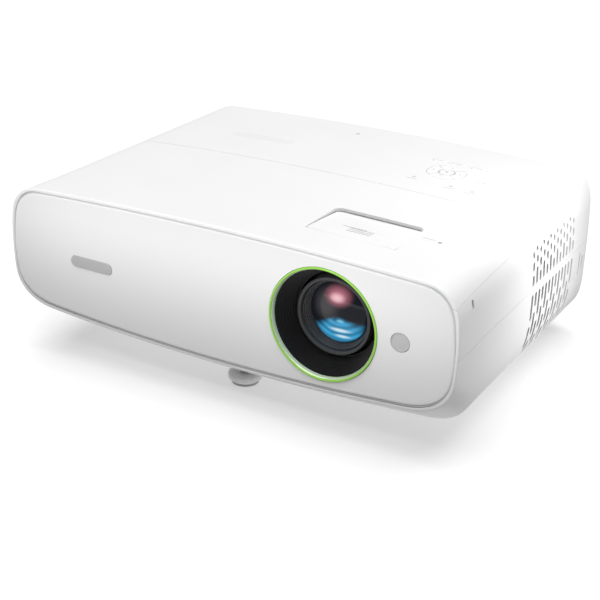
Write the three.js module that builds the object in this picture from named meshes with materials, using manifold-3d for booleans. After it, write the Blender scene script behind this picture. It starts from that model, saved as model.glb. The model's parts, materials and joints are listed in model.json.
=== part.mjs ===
// A home projector: a white case with a lens off to the right, opened as its real pieces.
// Units are millimetres. X runs to the right seen from the front, Y from the front to the back, Z up.
// The origin is on the ground under the middle of the case.

import * as THREE from "three";
import { mergeVertices } from "three/addons/utils/BufferGeometryUtils.js";
import Module from "manifold-3d";

const wasm = await Module();
wasm.setup();

// Case
const HALF_WIDTH = 174.5;
const FRONT_FLARE = 2;
const LIP_Y = -128.4;
const FLARE_END_Y = -64;
const REAR_Y = 130;
const BOTTOM_Z = 13;
const TOP_Z = 132.6;
const TOP_CROWN = 3.6;
const CROWN_X = 148;
const WALL = 2.2;
const GAP = 0.3;
const CHIN_SLOPE = 0.61;
const CHIN_Z = 33;
const REAR_RADIUS = 20;
const PARTING_Z = 81;
const COVER_SEAM_Y = 9.2;
const COVER_SIDE_Z = 118;
const COVER_RADIUS = 20;

// Front panel
const PANEL_Y = -129.4;
const PANEL_THICKNESS = 3;
const PANEL_INSET = WALL + 0.5;
const BADGE = { x: -103.6, z: 81.9, width: 35.5, height: 8.4 };
const IR = { x: 136.5, z: 84.6, radius: 6.5 };

// Lens
const LENS = { x: 81.2, z: 82.6 };
const RING_RADIUS = 38.2;
const BARREL_RADIUS = 27.1;
const BARREL_BORE = 24.6;
const BARREL_FRONT_Y = -114.2;
const BARREL_REAR_Y = -38.3;

// Lens door, in a plane that drops towards the back
const DOOR = { left: 48.4, right: 114.5, front: -96, back: -51, slope: 0.1, thickness: 1.8 };
const DOOR_LENGTH = 53;
const DOOR_TRAVEL = 33;

// Light path, below the lens axis
const BEAM = { y: -24, z: 64 };
const WHEEL_Z = 47;

// Keypad
const PAD = { x: 79.4, y: 59.8, radius: 14.8, gap: 0.9 };
const KEY_TRAVEL = 0.8;
const KEY_RISE = 0.4;
const KEYBOARD_Z = 122;
const KEY_BOTTOM_Z = 124.8;

// Feet
const SPACER_RADIUS = 3.2;
const BOSS_WALL = 4;
const BOSS_TOP_Z = 46;
const STEM_TOP_Z = 40;
const WHEEL_TOP_Z = 7.8;
const FRONT_FOOT = { x: -3, y: -86, radius: 12.3, stem: 4 };
const REAR_FEET_X = 141;
const REAR_FEET_Y = 112;
const REAR_FOOT_RADIUS = 9.5;

// Side grilles: slots in columns, each list gives the upper and lower end of each slot in a column
const CURVE_STEPS = 4;
const GRILLE_PITCH = 6.6;
const GRILLE_COLUMNS = 13;
const GRILLE_START_Y = 1.3;
const LEFT_GRILLE_START_Y = -54;
const LEFT_GRILLE_COLUMNS = 10;
const SLOT_WIDTH = 3;
const UPPER_SLOTS = [
  [[110.5, 103.5], [100.5, 90.5], [87.5, 84.2]],
  [[110.5, 105.5], [102.5, 94.5], [91.5, 84.2]],
];
const LOWER_SLOTS = [
  [[77.5, 57], [53, 35]],
  [[77.5, 66], [62, 44], [40, 28]],
];
const LEFT_UPPER_SLOTS = [[[108, 98], [94.5, 84.2]]];
const LEFT_LOWER_SLOTS = [[[77.5, 58], [54, 34]]];

const X = new THREE.Vector3(1, 0, 0);
const Y = new THREE.Vector3(0, 1, 0);
const Z = new THREE.Vector3(0, 0, 1);

const finish = (color, roughness, metalness = 0, opacity = 1) =>
  new THREE.MeshStandardMaterial({
    color, roughness, metalness, opacity, transparent: opacity < 1,
  });

const MATERIALS = {
  shell: () => finish(0xf4f4f4, 0.42),
  panel: () => finish(0xeeeeee, 0.35),
  key: () => finish(0xf0f0f0, 0.5),
  badge: () => finish(0x9a9a9a, 0.3, 0.8),
  green: () => finish(0x7dbb45, 0.3, 0.5),
  black: () => finish(0x161616, 0.55),
  window: () => finish(0xc9c9c9, 0.25),
  glass: () => finish(0x9fc4d8, 0.05, 0, 0.35),
  mirror: () => finish(0xe6eaee, 0.05, 1),
  casting: () => finish(0x8b8e91, 0.5, 0.8),
  steel: () => finish(0xb9bcbf, 0.35, 1),
  board: () => finish(0x1f6b3a, 0.6),
  rubber: () => finish(0x8c8c8c, 0.9),
  grey: () => finish(0xc8c8c8, 0.6),
  ceramic: () => finish(0xd9d2c3, 0.7),
};

// Solids

function solid(geometry) {
  const bare = geometry.clone();
  bare.deleteAttribute("normal");
  bare.deleteAttribute("uv");
  const merged = mergeVertices(bare, 1e-4);
  return new wasm.Manifold(new wasm.Mesh({
    numProp: 3,
    vertProperties: merged.attributes.position.array,
    triVerts: new Uint32Array(merged.index.array),
  }));
}

function union(...pieces) {
  return pieces.reduce((whole, piece) => whole.add(piece));
}

function cut(piece, ...tools) {
  return tools.reduce((left, tool) => left.subtract(tool), piece);
}

function geometryOf(made) {
  const mesh = made.getMesh();
  const geometry = new THREE.BufferGeometry()
    .setAttribute("position", new THREE.BufferAttribute(new Float32Array(mesh.vertProperties), 3))
    .setIndex(new THREE.BufferAttribute(new Uint32Array(mesh.triVerts), 1));
  geometry.computeVertexNormals();
  return geometry;
}

function box(x0, x1, y0, y1, z0, z1) {
  const geometry = new THREE.BoxGeometry(x1 - x0, y1 - y0, z1 - z0);
  return solid(geometry.translate((x0 + x1) / 2, (y0 + y1) / 2, (z0 + z1) / 2));
}

// An outline drawn in (y, z), (x, z) or (x, y) is extruded along the axis that it lacks.
const BASIS = {
  x: new THREE.Matrix4().makeBasis(Y, Z, X),
  y: new THREE.Matrix4().makeBasis(X, Z, Y.clone().negate()),
  z: new THREE.Matrix4(),
};

function prismGeometry(axis, outline, from, to, options = {}) {
  const settings = { depth: to - from, bevelEnabled: false, curveSegments: 6, ...options };
  const geometry = new THREE.ExtrudeGeometry(outline, settings);
  return geometry.translate(0, 0, axis === "y" ? -to : from).applyMatrix4(BASIS[axis]);
}

const prism = (...drawing) => solid(prismGeometry(...drawing));

// Turned pieces stand on an axis. A profile lists [radius, distance along the axis].
const TURN = {
  x: new THREE.Matrix4().makeRotationZ(-Math.PI / 2),
  y: new THREE.Matrix4(),
  z: new THREE.Matrix4().makeRotationX(Math.PI / 2),
};

const PLACE = {
  x: ([y, z]) => [0, y, z],
  y: ([x, z]) => [x, 0, z],
  z: ([x, y]) => [x, y, 0],
};

function turned(axis, centre, profile, segments = 32) {
  const points = profile.map(([radius, along]) => new THREE.Vector2(radius, along));
  if (THREE.ShapeUtils.isClockWise(points)) points.reverse();
  if (points[0].x > 0 || points.at(-1).x > 0) points.push(points[0].clone());
  const geometry = new THREE.LatheGeometry(points, segments);
  return solid(geometry.applyMatrix4(TURN[axis]).translate(...PLACE[axis](centre)));
}

function rod(axis, centre, radius, from, to, segments = 16) {
  return turned(axis, centre, [[0, from], [radius, from], [radius, to], [0, to]], segments);
}

function tube(axis, centre, inner, outer, from, to, segments = 32) {
  return turned(axis, centre, [[inner, from], [outer, from], [outer, to], [inner, to]], segments);
}

// Outlines

function rectangle(left, right, low, high, radius) {
  const shape = new THREE.Shape();
  shape.absarc(right - radius, high - radius, radius, 0, Math.PI / 2);
  shape.absarc(left + radius, high - radius, radius, Math.PI / 2, Math.PI);
  shape.absarc(left + radius, low + radius, radius, Math.PI, 1.5 * Math.PI);
  shape.absarc(right - radius, low + radius, radius, 1.5 * Math.PI, 2 * Math.PI);
  return shape;
}

function slotOutline(middle, high, low, width) {
  const radius = width / 2;
  const shape = new THREE.Shape();
  shape.absarc(middle, high - radius, radius, 0, Math.PI);
  shape.absarc(middle, low + radius, radius, Math.PI, 2 * Math.PI);
  return shape;
}

// The half outline's curves run from the top centre to the bottom centre, and are mirrored to close it.
function mirrored(draw) {
  const half = new THREE.Path();
  draw(half);
  const right = half.getPoints(CURVE_STEPS);
  const left = right.map((p) => new THREE.Vector2(-p.x, p.y)).reverse();
  return new THREE.Shape([...right, ...left.filter((p) => p.x < -1e-6)]);
}

function topAndShoulder(half, width, top, crown) {
  half.moveTo(0, top);
  half.quadraticCurveTo(CROWN_X / 2, top, CROWN_X, top - crown);
  half.quadraticCurveTo(width - 3.6, top - crown - 1.2, width - 1.6, top - 28.6);
}

// Cross-section of the case behind its chin
function caseSection(inset) {
  const width = HALF_WIDTH - inset;
  const low = BOTTOM_Z + inset;
  return mirrored((half) => {
    topAndShoulder(half, width, TOP_Z - inset, TOP_CROWN);
    half.quadraticCurveTo(width + 0.8, 76, width - 0.5, 54);
    half.quadraticCurveTo(width - 2.9, low, width - 36, low);
    half.lineTo(0, low);
  });
}

// Bottom and lower corners of the front opening, which rise towards the sides
function frontBottom(half, width, low) {
  half.quadraticCurveTo(width - 4, low + 8.5, width - 34.5, low + 6);
  half.quadraticCurveTo((width - 34.5) / 2, low, 0, low);
}

function panelOutline(inset) {
  const width = HALF_WIDTH + FRONT_FLARE - inset;
  return mirrored((half) => {
    topAndShoulder(half, width, TOP_Z - inset, TOP_CROWN);
    half.quadraticCurveTo(width + 0.9, 85, width - 1, 68);
    frontBottom(half, width, CHIN_Z + inset);
  });
}

// The case narrows from its front opening to FLARE_END_Y.
function flared(geometry) {
  const flare = FRONT_FLARE / HALF_WIDTH;
  const place = geometry.attributes.position;
  for (let i = 0; i < place.count; i += 1) {
    const share = (FLARE_END_Y - place.getY(i)) / (FLARE_END_Y - LIP_Y);
    place.setX(i, place.getX(i) * (1 + flare * Math.max(0, Math.min(1, share))));
  }
  return geometry;
}

// The chin is the front's lower outline, carried down and back at a slope.
function chin(inset) {
  const width = HALF_WIDTH + FRONT_FLARE - inset;
  const outline = mirrored((half) => {
    half.moveTo(0, 330);
    half.lineTo(width + 4, 330);
    half.lineTo(width + 4, 102);
    half.lineTo(width - 1, 68);
    frontBottom(half, width, CHIN_Z + inset);
  });
  const slope = new THREE.Matrix4().makeShear(0, 0, 0, -CHIN_SLOPE, 0, 0);
  const geometry = prismGeometry("y", outline, -5, 270).applyMatrix4(slope);
  return solid(geometry.translate(0, LIP_Y, 0));
}

function plan(inset) {
  const side = 200;
  const rear = REAR_Y - inset;
  const width = HALF_WIDTH - inset;
  const radius = REAR_RADIUS - inset;
  const shape = new THREE.Shape();
  shape.moveTo(side, LIP_Y - 10);
  shape.lineTo(side, rear - radius);
  shape.lineTo(width, rear - radius);
  shape.absarc(width - radius, rear - radius, radius, 0, Math.PI / 2);
  shape.absarc(radius - width, rear - radius, radius, Math.PI / 2, Math.PI);
  shape.lineTo(-side, rear - radius);
  shape.lineTo(-side, LIP_Y - 10);
  return prism("z", shape, 0, 150);
}

function caseBody(inset, front) {
  const section = caseSection(inset);
  const mouth = solid(flared(prismGeometry("y", section, front, FLARE_END_Y)));
  const straight = prism("y", section, FLARE_END_Y, REAR_Y + 1);
  return union(mouth, straight).intersect(plan(inset)).intersect(chin(inset));
}

const topAt = (x) => TOP_Z - TOP_CROWN * (x / CROWN_X) ** 2;

// Everything of the front cover lies in this side profile.
function coverRegion(gap) {
  const seam = COVER_SEAM_Y - gap;
  const low = COVER_SIDE_Z + gap;
  const shape = new THREE.Shape();
  shape.moveTo(LIP_Y - 5, low - 3);
  shape.lineTo(seam - COVER_RADIUS, low);
  shape.absarc(seam - COVER_RADIUS, low + COVER_RADIUS, COVER_RADIUS, 1.5 * Math.PI, 2 * Math.PI);
  shape.lineTo(seam, 150);
  shape.lineTo(LIP_Y - 5, 150);
  return prism("x", shape, -190, 190);
}

function grille(slots, startY, columns, from, to) {
  const tools = [];
  for (let column = 0; column < columns; column += 1) {
    for (const [high, low] of slots[column % slots.length]) {
      const outline = slotOutline(startY + column * GRILLE_PITCH, high, low, SLOT_WIDTH);
      tools.push(prism("x", outline, from, to, { curveSegments: 1 }));
    }
  }
  return union(...tools);
}

// Assembly

const projector = new THREE.Group();
projector.name = "projector";

function part(name, made, material) {
  const mesh = new THREE.Mesh(geometryOf(made), MATERIALS[material]());
  mesh.name = name;
  projector.add(mesh);
}

// Case shells

const outside = caseBody(0, LIP_Y);
const shell = outside.subtract(caseBody(WALL, LIP_Y - 2));
const REAR_OPENING = { left: -128, right: 128, low: 30, high: 112 };
const rearOpening = box(
  REAR_OPENING.left, REAR_OPENING.right, 110, 140, REAR_OPENING.low, REAR_OPENING.high,
);
const rightGrille = (slots) => grille(slots, GRILLE_START_Y, GRILLE_COLUMNS, 140, 190);
const leftGrille = (slots) => grille(slots, LEFT_GRILLE_START_Y, LEFT_GRILLE_COLUMNS, -190, -140);

// Spacers under a board or housing, from just above the case's floor to inside its own plate
function spacers(places, top) {
  const posts = places.map(([x, y]) => rod("z", [x, y], SPACER_RADIUS, BOTTOM_Z, top + 1, 8));
  return union(...posts).intersect(caseBody(WALL + GAP, LIP_Y));
}

function footBoss(x, y, stem) {
  return rod("z", [x, y], stem + BOSS_WALL, BOTTOM_Z + 0.5, BOSS_TOP_Z, 16);
}

function footBore(x, y, stem) {
  return rod("z", [x, y], stem + GAP, 0, 60, 16);
}

const FEET = {
  front_foot: FRONT_FOOT,
  rear_left_foot: { x: -REAR_FEET_X, y: REAR_FEET_Y, radius: REAR_FOOT_RADIUS, stem: 3 },
  rear_right_foot: { x: REAR_FEET_X, y: REAR_FEET_Y, radius: REAR_FOOT_RADIUS, stem: 3 },
};

const ENGINE_SPACERS = [[34, -32], [128, -32], [34, 28], [128, 28]];
const MAIN_SPACERS = [[-38, 66], [122, 64], [-38, 112], [40, 112]];
const POWER_SPACERS = [[-134, 46], [-64, 46], [-116, 92], [-64, 92]];
const BALLAST_SPACERS = [[-144, -108], [-56, -108], [-144, -72], [-56, -72]];
const ENGINE_Z = 48;
const MAIN_Z = 60;
const POWER_Z = 24;
const BALLAST_Z = 42;

function lowerCase() {
  const half = shell.intersect(box(-190, 190, -140, 140, 0, PARTING_Z - GAP / 2));
  const feet = Object.values(FEET);
  const bosses = feet.map((foot) => footBoss(foot.x, foot.y, foot.stem));
  return cut(
    union(half, union(...bosses).intersect(outside)),
    ...feet.map((foot) => footBore(foot.x, foot.y, foot.stem)),
    rightGrille(LOWER_SLOTS),
    leftGrille(LEFT_LOWER_SLOTS),
    rearOpening,
  );
}

const LOCK_SLOT = { y: -104.3, high: 113.2, low: 106.4, width: 3.4 };
const OBLONG_KEYS = {
  power_key: { x: 65.2, y: 81.2, width: 13, height: 6 },
  menu_key: { x: 80.4, y: 81.2, width: 13, height: 6 },
  source_key: { x: 96.6, y: 81.2, width: 13, height: 6 },
  back_key: { x: 112.4, y: 53.9, width: 13, height: 6.4 },
};
const LIGHTS = [[63.8, 36.7], [94.2, 33.9], [111.4, 32.7]];
const LIGHT_RADIUS = 1.3;

function keyHole(key, grow) {
  const outline = rectangle(
    key.x - key.width / 2 - grow, key.x + key.width / 2 + grow,
    key.y - key.height / 2 - grow, key.y + key.height / 2 + grow, key.height / 2 + grow - 0.01,
  );
  return prism("z", outline, 120, 150, { curveSegments: 2 });
}

function upperCase() {
  const half = shell.intersect(box(-190, 190, -140, 140, PARTING_Z + GAP / 2, 150));
  const bosses = [[52, 28], [120, 28], [52, 90], [120, 90]]
    .map(([x, y]) => rod("z", [x, y], 3, KEYBOARD_Z + 1.6 + GAP, 140, 8));
  return cut(
    union(cut(half, coverRegion(-GAP / 2)), union(...bosses).intersect(outside)),
    rightGrille(UPPER_SLOTS),
    leftGrille(LEFT_UPPER_SLOTS),
    rearOpening,
    prism("x", slotOutline(LOCK_SLOT.y, LOCK_SLOT.high, LOCK_SLOT.low, LOCK_SLOT.width), 160, 190,
      { curveSegments: 3 }),
    rod("z", [PAD.x, PAD.y], PAD.radius + GAP, 120, 150, 32),
    ...Object.values(OBLONG_KEYS).map((key) => keyHole(key, GAP)),
    ...LIGHTS.map((at) => rod("z", at, LIGHT_RADIUS + GAP, 120, 150, 8)),
  );
}

// Boxes given over the door's plane: x, y and height above the door's top face
const doorTop = topAt((DOOR.left + DOOR.right) / 2);
const doorTilt = (topAt(DOOR.right) - topAt(DOOR.left)) / (DOOR.right - DOOR.left);

function onDoorPlane(x0, x1, y0, y1, h0, h1) {
  const middle = (DOOR.left + DOOR.right) / 2;
  const geometry = new THREE.BoxGeometry(x1 - x0, y1 - y0, h1 - h0);
  geometry.translate((x0 + x1) / 2 - middle, (y0 + y1) / 2 - DOOR.front, (h0 + h1) / 2);
  geometry.applyMatrix4(new THREE.Matrix4().makeShear(0, doorTilt, 0, -DOOR.slope, 0, 0));
  return solid(geometry.translate(middle, DOOR.front, doorTop));
}

function topCover() {
  const cover = shell.intersect(coverRegion(GAP / 2));
  const opening = union(
    prism("z", rectangle(DOOR.left, DOOR.right, DOOR.front, DOOR.back, 5), 100, 150, { curveSegments: 3 }),
    box(DOOR.left, DOOR.right, DOOR.front, DOOR.front + 20, 100, 150),
  );
  const back = -6;
  const under = -DOOR.thickness - GAP;
  const floor = under - 1.7;
  const rails = union(
    onDoorPlane(DOOR.left - 3, DOOR.left, DOOR.front - 2, back, floor, 14),
    onDoorPlane(DOOR.right, DOOR.right + 3, DOOR.front - 2, back, floor, 14),
  ).intersect(outside);
  const tray = cut(
    onDoorPlane(DOOR.left - 3, DOOR.right + 3, DOOR.front - 2, back, floor, under),
    onDoorPlane(DOOR.left + 7, DOOR.right - 7, DOOR.front + 4, DOOR.back - 7, -20, 20),
  );
  return union(cut(cover, opening), rails, tray);
}

function lensDoor() {
  const side = 0.4;
  const slab = onDoorPlane(
    DOOR.left + side, DOOR.right - side, DOOR.front + side, DOOR.front + side + DOOR_LENGTH,
    -DOOR.thickness, 0,
  );
  const grips = [0, 1, 2].map((row) => onDoorPlane(
    72, 90, DOOR.front + 12 + row * 3, DOOR.front + 13.2 + row * 3, -0.6, 2,
  ));
  return cut(slab, ...grips);
}

part("lower_case", lowerCase(), "shell");
part("upper_case", upperCase(), "shell");
part("top_cover", topCover(), "shell");
part("lens_door", lensDoor(), "shell");

// Front panel and what is set in it

function frontPanel() {
  const bevel = {
    bevelEnabled: true, bevelSize: 1.2, bevelThickness: 1, bevelOffset: -1.2, bevelSegments: 1,
  };
  const plate = prism("y", panelOutline(PANEL_INSET), PANEL_Y + 1, PANEL_Y + PANEL_THICKNESS - 1, bevel);
  const { x, z, width, height } = BADGE;
  const pocket = rectangle(
    x - width / 2 - GAP, x + width / 2 + GAP, z - height / 2 - GAP, z + height / 2 + GAP, height / 2,
  );
  return cut(
    plate,
    rod("y", [LENS.x, LENS.z], RING_RADIUS + 1.5, -140, -110, 40),
    rod("y", [IR.x, IR.z], IR.radius + GAP, -140, -110, 24),
    prism("y", pocket, -140, PANEL_Y + 0.7, { curveSegments: 4 }),
  );
}

function frontBadge() {
  const { x, z, width, height } = BADGE;
  const outline = rectangle(x - width / 2, x + width / 2, z - height / 2, z + height / 2, height / 2 - GAP);
  return prism("y", outline, PANEL_Y - 0.4, PANEL_Y + 0.4, { curveSegments: 4 });
}

part("front_panel", frontPanel(), "panel");
part("front_badge", frontBadge(), "badge");
part("ir_window", turned("y", [IR.x, IR.z], [
  [0, PANEL_Y], [IR.radius - 0.6, PANEL_Y], [IR.radius, PANEL_Y + 0.6], [IR.radius, -125], [0, -125],
], 24), "window");
part("lens_trim_ring", turned("y", [LENS.x, LENS.z], [
  [RING_RADIUS - 1.3, -128], [RING_RADIUS - 0.5, -130], [RING_RADIUS + 0.8, -130],
  [RING_RADIUS + 1.2, -129.2], [RING_RADIUS + 1.2, -126], [RING_RADIUS - 1.3, -126],
], 40), "green");

// A stepped funnel runs from the trim ring back to the lens barrel.
function lensHood() {
  const front = -125.6;
  const depth = 17;
  const steps = 4;
  const profile = [[RING_RADIUS + 1.2, front]];
  for (let i = 0; i < steps; i += 1) {
    const radius = RING_RADIUS - 1.4 - (i * 7.4) / steps;
    profile.push([radius, front + (i * depth) / steps], [radius, front + ((i + 1) * depth) / steps]);
  }
  profile.push([31, front + depth + 1.5], [RING_RADIUS + 1.2, front + 6]);
  return turned("y", [LENS.x, LENS.z], profile.reverse(), 32);
}

part("lens_hood", lensHood(), "black");

// Lens: a fixed barrel, two turning rings outside it and two sliding groups inside it

const lensAxis = [LENS.x, LENS.z];

part("lens_barrel", turned("y", lensAxis, [
  [BARREL_RADIUS, BARREL_FRONT_Y], [BARREL_RADIUS, -46], [36, -46], [36, BARREL_REAR_Y], [17, BARREL_REAR_Y],
  [17, -50], [BARREL_BORE, -52], [BARREL_BORE, BARREL_FRONT_Y],
], 32), "black");

function lensRing(from, to) {
  const inner = BARREL_RADIUS + GAP;
  const body = tube("y", lensAxis, inner, inner + 3.6, from, to, 32);
  const ribs = [];
  for (let i = 0; i < 16; i += 1) {
    const rib = new THREE.BoxGeometry(2.4, to - from - 3, 3);
    rib.translate(0, (from + to) / 2, inner + 3.2).rotateY((i * Math.PI) / 8);
    ribs.push(solid(rib.translate(LENS.x, 0, LENS.z)));
  }
  const tab = new THREE.BoxGeometry(5, to - from - 4, 12);
  tab.translate(LENS.x, (from + to) / 2, LENS.z + inner + 8);
  return union(body, ...ribs, solid(tab));
}

part("focus_ring", lensRing(-94, -80), "black");
part("zoom_ring", lensRing(-76.5, -62.5), "black");

const CELL_RADIUS = BARREL_BORE - 0.4;
const FRONT_GLASS_RADIUS = 21.3;

part("front_lens_cell", turned("y", lensAxis, [
  [CELL_RADIUS, -111.5], [CELL_RADIUS, -97], [18.5, -97], [18.5, -99.6], [FRONT_GLASS_RADIUS + GAP, -99.6],
  [FRONT_GLASS_RADIUS + GAP, -108.6], [22.8, -109.6], [22.8, -110.6], [23.6, -111.5],
], 32), "black");
part("front_lens_glass", turned("y", lensAxis, [
  [0, -111], [8, -110.5], [15, -108.8], [FRONT_GLASS_RADIUS, -105.6], [FRONT_GLASS_RADIUS, -100],
  [12, -101.6], [0, -102.4],
], 32), "glass");
part("zoom_lens_cell", turned("y", lensAxis, [
  [CELL_RADIUS, -80], [CELL_RADIUS, -66], [15, -66], [15, -68], [18, -68], [18, -80],
], 32), "black");
part("zoom_lens_glass", turned("y", lensAxis, [
  [0, -78], [10, -77], [17.7, -74], [17.7, -68.4], [0, -70.5],
], 32), "glass");
part("rear_lens_glass", turned("y", lensAxis, [
  [0, -49], [9, -48], [16.7, -46], [16.7, -41], [0, -42],
], 32), "glass");

// Optical engine

const ENGINE = { left: 28, right: 134, front: -38, back: 34, low: ENGINE_Z, high: 112, wall: 3 };

function engineHousing() {
  const { left, right, front, back, low, high, wall } = ENGINE;
  const tub = box(left, right, front, back, low, high);
  const shelf = box(-4, left + 1, BEAM.y - 10, BEAM.y + 10, BEAM.z - 8, BEAM.z - 5);
  const mirrorRest = box(74, 92, BEAM.y - 8, BEAM.y + 14, low, BEAM.z - 9);
  const hollow = box(left + wall, right - wall, front + wall, back - wall, low + wall, high + 5);
  return cut(
    union(cut(tub, hollow), shelf, mirrorRest, spacers(ENGINE_SPACERS, low)),
    rod("y", lensAxis, 18, front - 5, front + 5, 24),
    rod("x", [BEAM.y, BEAM.z], 5, left - 5, left + 5, 16),
    box(68, 94, back - 5, back + 5, 71, 95),
  );
}

part("engine_housing", engineHousing(), "casting");
part("dmd_board", cut(box(54, 108, 34.6, 36.2, 52, 110), box(74, 88, 30, 40, 76, 90)), "board");
part("dmd_chip", box(70, 92, 28.6, 34.2, 73, 93), "glass");

function heatSink() {
  const base = union(box(58, 104, 36.6, 40, 58, 106), box(75, 87, 34.6, 38, 77, 89));
  const fins = [];
  for (let i = 0; i < 9; i += 1) fins.push(box(58 + i * 5.5, 60 + i * 5.5, 39, 54, 58, 106));
  return union(base, ...fins);
}

part("dmd_heatsink", heatSink(), "casting");

function foldMirror() {
  const plate = new THREE.BoxGeometry(22, 1.6, 12);
  plate.rotateX(-0.25).rotateZ(-Math.PI / 4).translate(84, BEAM.y + 2, BEAM.z);
  return solid(plate);
}

part("fold_mirror", foldMirror(), "mirror");
part("relay_lens", turned("x", [BEAM.y, BEAM.z], [
  [0, 45], [6, 45.8], [11, 48], [11, 50], [6, 52.2], [0, 53],
], 24), "glass");
part("light_tunnel", cut(
  box(-10, 26, BEAM.y - 4.6, BEAM.y + 4.6, BEAM.z - 4.6, BEAM.z + 4.6),
  box(-11, 27, BEAM.y - 3, BEAM.y + 3, BEAM.z - 3, BEAM.z + 3),
), "mirror");

const wheelAxis = [BEAM.y, WHEEL_Z];

part("color_wheel", turned("x", wheelAxis, [
  [0, -20], [7, -20], [7, -18.6], [24, -18.6], [24, -17.2], [8, -17.2], [8, -16.2], [0, -16.2],
], 36), "glass");

function wheelMotor() {
  const can = rod("x", wheelAxis, 9, -15.6, -6, 20);
  const foot = box(-13, -8, BEAM.y - 3, BEAM.y + 3, 16, WHEEL_Z - 4);
  return union(can, foot);
}

part("color_wheel_motor", wheelMotor(), "steel");

// Lamp

const LAMP = { left: -94, right: -34, front: BEAM.y - 31, back: BEAM.y + 31, low: 33, high: 95, wall: 2 };

function lampHousing() {
  const { left, right, front, back, low, high, wall } = LAMP;
  const vents = [];
  for (let i = 0; i < 5; i += 1) {
    vents.push(box(left + 10 + i * 9, left + 14 + i * 9, front - 5, back + 5, low + 12, high - 12));
  }
  return cut(
    box(left, right, front, back, low, high),
    box(left + wall, right - wall, front + wall, back - wall, low + wall, high - wall),
    rod("x", [BEAM.y, BEAM.z], 25.5, right - 5, right + 5, 32),
    rod("x", [BEAM.y, BEAM.z], 8, left - 5, left + 5, 16),
    ...vents,
  );
}

part("lamp_housing", lampHousing(), "black");
part("lamp_reflector", turned("x", [BEAM.y, BEAM.z], [
  [5, -80], [12, -77], [19, -69], [24, -56], [26, -38],
  [28, -38], [26, -57], [21, -71], [13.5, -79], [5, -82.5],
], 28), "mirror");
part("lamp_burner", turned("x", [BEAM.y, BEAM.z], [
  [0, -90], [3.6, -90], [3.6, -74], [2.6, -72], [6, -67], [2.6, -62], [2.6, -52], [0, -50],
], 12), "glass");

// Boards

function block(list) {
  return list.map(([x, y, z, w, d, h]) => box(x - w / 2, x + w / 2, y - d / 2, y + d / 2, z - 0.4, z + h));
}

function cans(list) {
  return list.map(([x, y, z, r, h]) => rod("z", [x, y], r, z - 0.4, z + h, 12));
}

function powerBoard() {
  const top = POWER_Z + 1.6;
  return union(
    box(-140, -58, 40, 98, POWER_Z, top),
    spacers(POWER_SPACERS, POWER_Z),
    ...block([[-118, 60, top, 26, 24, 22], [-84, 60, top, 22, 20, 18]]),
    ...block([[-72, 86, top, 4, 18, 26], [-112, 88, top, 30, 4, 26]]),
    ...cans([[-92, 84, top, 7, 28], [-134, 82, top, 5, 20], [-64, 66, top, 4, 14]]),
  );
}

function ballastBoard() {
  const top = BALLAST_Z + 1.6;
  return union(
    box(-148, -52, -112, -68, BALLAST_Z, top),
    spacers(BALLAST_SPACERS, BALLAST_Z),
    ...block([[-128, -90, top, 20, 22, 18], [-96, -90, top, 18, 18, 16], [-70, -100, top, 14, 4, 20]]),
    ...cans([[-112, -78, top, 6, 20], [-76, -80, top, 5, 16]]),
  );
}

function mainBoard() {
  const top = MAIN_Z + 1.6;
  const fins = [0, 1, 2, 3, 4].map((i) => [36 + i * 6, 84, top + 4, 2, 26, 9]);
  return union(
    box(-46, 130, 60, 122, MAIN_Z, top),
    spacers(MAIN_SPACERS, MAIN_Z),
    ...block([[48, 84, top, 28, 28, 4.4], [-8, 82, top, 16, 22, 2]]),
    ...block([[14, 82, top, 12, 18, 2], [92, 80, top, 18, 18, 2.4]]),
    ...block(fins),
    ...cans([[-34, 80, top, 4, 9], [112, 72, top, 4, 9], [112, 84, top, 4, 9], [-34, 94, top, 4, 9]]),
  );
}

part("power_board", powerBoard(), "board");
part("ballast_board", ballastBoard(), "board");
part("main_board", mainBoard(), "board");
part("keypad_board", union(
  box(48, 124, 24, 94, KEYBOARD_Z, KEYBOARD_Z + 1.6),
  ...block([[60, 52, KEYBOARD_Z - 3.6, 12, 5, 4.2]]),
), "board");
part("ir_board", union(
  box(128, 145, -121, -119.4, 76, 94),
  rod("y", [IR.x, IR.z], 4, -124.4, -120.5, 12),
), "board");
part("light_guide", union(
  box(62, 113, 31.5, 37.5, KEYBOARD_Z + 2, KEYBOARD_Z + 4),
  ...LIGHTS.map(([x, y]) => rod("z", [x, y], LIGHT_RADIUS, KEYBOARD_Z + 3, topAt(x), 8)),
), "window");

// Keys

function keyCap(outline, x) {
  return prism("z", outline, KEY_BOTTOM_Z, topAt(x) + KEY_RISE, { curveSegments: 2 });
}

function oblongKey(key) {
  const radius = key.height / 2 - 0.01;
  return keyCap(rectangle(
    key.x - key.width / 2, key.x + key.width / 2, key.y - key.height / 2, key.y + key.height / 2, radius,
  ), key.x);
}

// One quarter of the ring round the centre key, with its straight edges half a gap off the diagonals
function arrowKey(angle) {
  const inner = 6.4;
  const half = Math.PI / 4;
  const shape = new THREE.Shape();
  const edge = (radius) => Math.asin(PAD.gap / 2 / radius);
  shape.absarc(0, 0, PAD.radius, angle - half + edge(PAD.radius), angle + half - edge(PAD.radius));
  shape.absarc(0, 0, inner, angle + half - edge(inner), angle - half + edge(inner), true);
  const centreX = PAD.x + 10 * Math.cos(angle);
  const quarter = prismGeometry("z", shape, KEY_BOTTOM_Z, topAt(centreX) + KEY_RISE, { curveSegments: 6 });
  return solid(quarter.translate(PAD.x, PAD.y, 0));
}

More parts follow.
